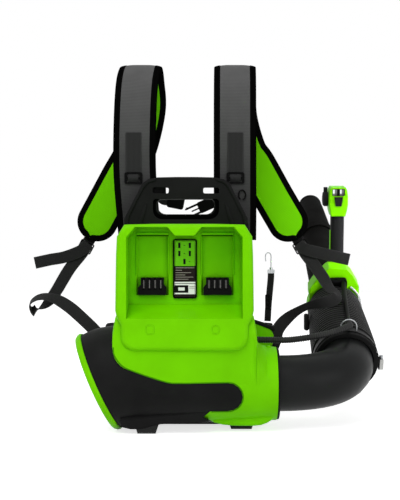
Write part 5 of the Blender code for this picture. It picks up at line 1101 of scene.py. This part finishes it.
lime_film = film("lime_printed_film", "74D418", "6CC812")
brown_film = film("brown_printed_film", "231915", "1C1411")
white_film = film("white_printed_film", "FBFBFA", "F2F2F0")
pale_rule = film("pale_printed_rule", "B5ADA6", "A69E97")
surround = start_cube("label_surround", (0, WALL_Y - 0.0006, LABEL_Z), (0.0446, 0.0012, 0.1105))
bpy.ops.object.mode_set(mode="EDIT")
bpy.ops.mesh.select_all(action="DESELECT")
bpy.ops.object.mode_set(mode="OBJECT")
for edge in surround.data.edges:
    a, b = (surround.data.vertices[i].co for i in edge.vertices)
    edge.select = abs(a.x - b.x) < 1e-6 and abs(a.z - b.z) < 1e-6
bpy.ops.object.mode_set(mode="EDIT")
bpy.ops.mesh.bevel(offset=0.004, segments=4, affect="EDGES")
bpy.ops.mesh.select_all(action="DESELECT")
bpy.ops.object.mode_set(mode="OBJECT")
for face in surround.data.polygons:
    face.select = face.normal.y < -0.9
bpy.ops.object.mode_set(mode="EDIT")
bpy.ops.mesh.inset(thickness=0.0022, depth=0.0)
bpy.ops.mesh.extrude_region_move(TRANSFORM_OT_translate={"value": (0, 0.0005, 0)})
settle(surround, gloss_abs)
print("surround:", len(surround.data.polygons), "faces")

# %% [markdown]
# The fields are thin films in the surround, one above the other, and the marks lie on them. Each mark
# has its place across, its height, its width and how tall it is.

# %% Fields and marks
FIELD_WIDE = 0.0386
for name, low, high, finish in (("label_lime_field", 0.3095, 0.357, lime_film),
                                ("label_brown_field", 0.2805, 0.3088, brown_film),
                                ("label_white_field", 0.257, 0.2765, white_film),
                                ("label_foot_field", 0.2517, 0.2565, brown_film)):
    block(name, (0, WALL_Y - 0.00095, (low + high) / 2), (FIELD_WIDE, 0.0006, high - low), 0.0002, 1, finish)
marks = [("charge_bar", x, z, 0.004, 0.01, gloss_abs)
         for x, z in ((-0.0105, 0.348), (0.009, 0.348), (-0.0105, 0.333), (0.009, 0.333), (-0.001, 0.318))]
marks += [("charge_tick", x, z, 0.003, 0.001, brown_film)
          for x, z in ((-0.001, 0.348), (-0.001, 0.333), (0.0085, 0.318))]
marks += [("label_rule", -0.0175 + wide / 2, z, wide, 0.001, pale_rule)
          for z, wide in ((0.3063, 0.035), (0.3018, 0.012), (0.2972, 0.029), (0.293, 0.018),
                          (0.289, 0.033), (0.285, 0.024))]
marks += [("label_white_rule", 0.0, 0.2789, FIELD_WIDE, 0.0026, white_film),
          ("label_window", -0.0065, 0.2668, 0.0255, 0.014, gloss_abs),
          ("label_window_field", -0.0065, 0.2668, 0.012, 0.006, white_film),
          ("label_white_rule", 0.013, 0.2715, 0.011, 0.0012, pale_rule),
          ("label_white_rule", 0.013, 0.2685, 0.011, 0.0012, pale_rule)]
for number, (name, x, z, wide, tall, finish) in enumerate(marks):
    proud = 0.0003 if name == "label_window_field" else 0.0
    block("%s_%d" % (name, number), (x, WALL_Y - 0.0013 - proud, z), (wide, 0.0006, tall), 0.0001, 1, finish)
print("marks on the label:", len(marks))

# %% [markdown]
# ## Mouldings that stand on the housing
# The housing carries small forms that come out of the same mould. Each battery bay has a lip, a dark
# lime strip of painted shadow under it, and a rib down each side. The panel has two faint raised
# marks, the collar a screw boss and a belly, and behind the right side stands a cheek with a black
# rim. Most start as a circle whose points are set to the outline and extruded. A raised mark is a
# hoop whose wall is given a thickness.


# %% Forms from an outline
def drawn(name, outline, front, depth, fill):
    """An outline seen from the battery side, drawn back by a depth; fill closes it."""
    bpy.ops.object.select_all(action="DESELECT")
    bpy.ops.mesh.primitive_circle_add(vertices=len(outline), radius=0.05, fill_type=fill)
    made = bpy.context.object
    made.name = name
    for vert, (x, z) in zip(made.data.vertices, outline):
        vert.co = (x, front, z)
    bpy.ops.object.mode_set(mode="EDIT")
    bpy.ops.mesh.select_all(action="SELECT")
    bpy.ops.mesh.extrude_region_move(TRANSFORM_OT_translate={"value": (0, depth, 0)})
    return made


def plate(name, outline, front, depth, edge, segments, finish, angle=40.0, smooth=30.0):
    """A flat plate with soft edges."""
    made = drawn(name, outline, front, depth, "NGON")
    bpy.ops.mesh.select_all(action="SELECT")
    bpy.ops.mesh.normals_make_consistent(inside=False)
    bpy.ops.object.mode_set(mode="OBJECT")
    bevel(made, edge, segments, angle)
    settle(made, finish, smooth=smooth)


def hoop(name, outline, front, depth, wide, edge, finish):
    """A raised ring along an outline."""
    made = drawn(name, outline, front, depth, "NOTHING")
    bpy.ops.object.mode_set(mode="OBJECT")
    wall = made.modifiers.new("wall", "SOLIDIFY")
    wall.thickness = wide
    wall.offset = 0.0
    bevel(made, edge, 2)
    settle(made, finish)


def rounded(cx, cz, wide, tall, corner, steps=5):
    """The outline of a rectangle with round corners."""
    points = []
    for sx, sz, start in ((1, 1, 0), (-1, 1, 90), (-1, -1, 180), (1, -1, 270)):
        for k in range(steps + 1):
            angle = math.radians(start + 90 * k / steps)
            points.append((cx + sx * (wide / 2 - corner) + corner * math.cos(angle),
                           cz + sz * (tall / 2 - corner) + corner * math.sin(angle)))
    return points


# %% Battery bays and panel marks
BAY_X = 0.0605
for side, label in ((-1, "left"), (1, "right")):
    middle = side * BAY_X
    plate("bay_lip_" + label, rounded(middle, 0.37, 0.06, 0.0046, 0.0015), WALL_Y - 0.0026, 0.005,
          0.0007, 2, lime_abs)
    # Painted shadow: a dark lime strip under each lip.
    block("bay_painted_shadow_" + label, (middle, WALL_Y - 0.0004, 0.3664), (0.0575, 0.002, 0.0024), 0.0005, 2,
          lime_painted_shadow)
    for across in (-1, 1):
        block("bay_rib_%s_%d" % (label, across), (middle + across * 0.0296, WALL_Y - 0.0006, 0.329),
              (0.002, 0.004, 0.072), 0.0008, 2, lime_abs)
for label, x, corner in (("left", -0.062, 0.003), ("right", 0.056, 0.0072)):
    hoop("panel_mark_" + label, rounded(x, 0.1962, 0.014, 0.0155, corner), -0.1957, 0.004, 0.0018, 0.0003,
         lime_abs)
print("bays at x =", -BAY_X, BAY_X)

# %% Collar and rear cheek
bpy.ops.object.select_all(action="DESELECT")
bpy.ops.mesh.primitive_cylinder_add(vertices=32, radius=0.005, depth=0.016, location=(0.157, -0.105, 0.151))
boss = bpy.context.object
boss.name = "collar_screw_boss"
bevel(boss, 0.0022, 4)
settle(boss, lime_abs)
plate("collar_belly", [
    (0.048, 0.04), (0.048, 0.0215), (0.055, 0.017), (0.07, 0.0135), (0.086, 0.0118), (0.105, 0.0112),
    (0.128, 0.0112), (0.142, 0.0125), (0.153, 0.0165), (0.161, 0.0215), (0.166, 0.027), (0.169, 0.034),
    (0.17, 0.042)], -0.134, 0.074, 0.006, 4, lime_abs, angle=50.0, smooth=60.0)
plate("rear_cheek", [
    (0.127, 0.134), (0.155, 0.136), (0.172, 0.15), (0.1745, 0.17), (0.17, 0.1812), (0.155, 0.188),
    (0.1385, 0.194), (0.127, 0.1975)], -0.008, 0.013, 0.002, 3, lime_abs)
plate("rear_cheek_rim", [
    (0.127, 0.196), (0.1385, 0.193), (0.15, 0.1885), (0.1663, 0.1822), (0.1735, 0.177), (0.1775, 0.179),
    (0.1765, 0.184), (0.1735, 0.188), (0.155, 0.195), (0.1375, 0.2005), (0.127, 0.2035)],
    -0.01, 0.017, 0.0015, 3, black_nylon)
print("boss:", len(boss.data.polygons), "faces")

# %% [markdown]
# The upper shell ends in a small lip where it overlaps the black lower shell. The lip is a bead that
# follows the border, laid on the housing by looking for its surface from the battery side. Its lime
# is painted darker: painted shade under the shell's edge.

# %% Lip along the shell border
BORDER_OUT = 0.0014
TONGUE_END, TONGUE_MID, TONGUE_ROUND = 0.079, 0.0703, 0.0265
housing = bpy.data.objects["main_housing_moulding"]
bpy.context.view_layer.update()
border = smooth_line([(x, 0, z + BORDER_OUT) for x, z in (
    (-0.129, 0.162), (-0.1272, 0.148), (-0.114, 0.1298), (-0.0934, 0.119), (-0.0348, 0.0995),
    (-0.008, 0.0968), (0.03, 0.0968), (0.079, 0.0968))], 8)
reach = TONGUE_ROUND + BORDER_OUT
for angle in range(80, -91, -10):
    turn = math.radians(angle)
    border.append(Vector((TONGUE_END + reach * math.cos(turn), 0, TONGUE_MID + reach * math.sin(turn))))
border += [Vector((0.064, 0, 0.0424)), Vector((0.049, 0, 0.0424))]
lip_line = []
for point in border:
    found, spot, _, _ = housing.ray_cast(Vector((point.x, -0.5, point.z)), Vector((0, 1, 0)))
    if found and spot.y < -0.05:
        lip_line.append(spot)
lip = tube("border_lip", lip_line, lambda s: 0.0011, lime_lip_painted_shade, 10, 0.003)
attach(lip, "main")
print("border lip:", len(lip_line), "of", len(border), "points")

# %% [markdown]
# The back plate is stiffened by a raised band along each leg, which turns inwards at the top, and by a
# short brace on each side of the hand opening.

# %% Plate ribs
rib_outline = [(0.1235, 0.39), (0.1235, 0.402), (0.104, 0.44), (0.088, 0.469), (0.076, 0.479),
               (0.06, 0.4825), (0.06, 0.477), (0.074, 0.4735), (0.0825, 0.465), (0.0965, 0.439),
               (0.113, 0.405), (0.115, 0.39)]
brace_outline = [(0.096, 0.39), (0.095, 0.396), (0.086, 0.423), (0.078, 0.433), (0.079, 0.42),
                 (0.088, 0.39)]
for side, label in ((-1, "left"), (1, "right")):
    plate("plate_rib_" + label, [(side * x, z) for x, z in rib_outline], -0.003, 0.0045, 0.0016, 3,
          black_nylon)
    plate("plate_brace_" + label, [(side * x, z) for x, z in brace_outline], -0.0018, 0.003, 0.001, 2,
          black_nylon)
print("points of a rib:", len(rib_outline), "and of a brace:", len(brace_outline))

# %% [markdown]
# The hand opening has a soft black edge ring, so that it doesn't cut the hand, and the plug of the
# chest buckle shows its prongs through it.

# %% Opening liner and buckle prongs
hoop("opening_liner", rounded(-0.001, 0.4268, 0.127, 0.042, 0.017), 0.0052, 0.004, 0.008, 0.0012,
     liner_rubber)
prongs = [(-0.0255, 0.0098, 0.029, 0.0032), (-0.0255, -0.0098, 0.029, 0.0032), (-0.0125, 0.0, 0.0036, 0.022),
          (-0.021, 0.0, 0.02, 0.003)]
for number, (x, z, wide, tall) in enumerate(prongs):
    block("buckle_prong_%d" % number, buckle_place["right"] @ Matrix.Translation((x, 0.0, z)),
          (wide, 0.004, tall), 0.0007, 2, buckle_acetal)
print("prongs:", len(prongs))

# %% [markdown]
# ## Fittings on the hose and the grip
# A pale ring closes the hose where the clamp takes it and shows on its right side; its near-white
# colour is a painted highlight. A rubber boot seals the cable where it enters the clamp, a lug
# stands at the left, and a lime strip runs down the grip.

# %% Hose ring, boot, lug and grip strip
RING_RADIUS, RING_Y = 0.0612, 0.1235
arc = []
for angle in range(-24, 60, 6):
    turn = math.radians(angle)
    arc.append(swing @ Vector((RING_RADIUS * math.cos(turn), RING_Y, RING_RADIUS * math.sin(turn))))
ring = tube("hose_end_ring", arc, lambda s: 0.0021, pale_ring, 16, 0.002)
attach(ring, "wand")
block("cable_boot", swing @ Matrix.Translation((0.0065, 0.123, 0.061)), (0.04, 0.033, 0.022), 0.0065, 4,
      cable_pvc, "wand")
block("hose_side_lug", (0.256, 0.15, 0.185), (0.01, 0.02, 0.036), 0.0042, 4, hose_rubber)
grip_place = swing @ Matrix.Translation((0.0095, 0.19, 0.094)) @ Matrix.Rotation(math.radians(-13), 4, "X")
block("grip_lime_strip", grip_place @ Matrix.Translation((-0.0158, -0.004, 0.04)), (0.0016, 0.01, 0.046),
      0.0005, 2, lime_abs, frame["nodes"]["handle_grip"]["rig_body"])
print("ring:", len(ring.data.polygons), "faces")

# %% Sizes
low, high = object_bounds()
print("visual box", list(low), list(high))
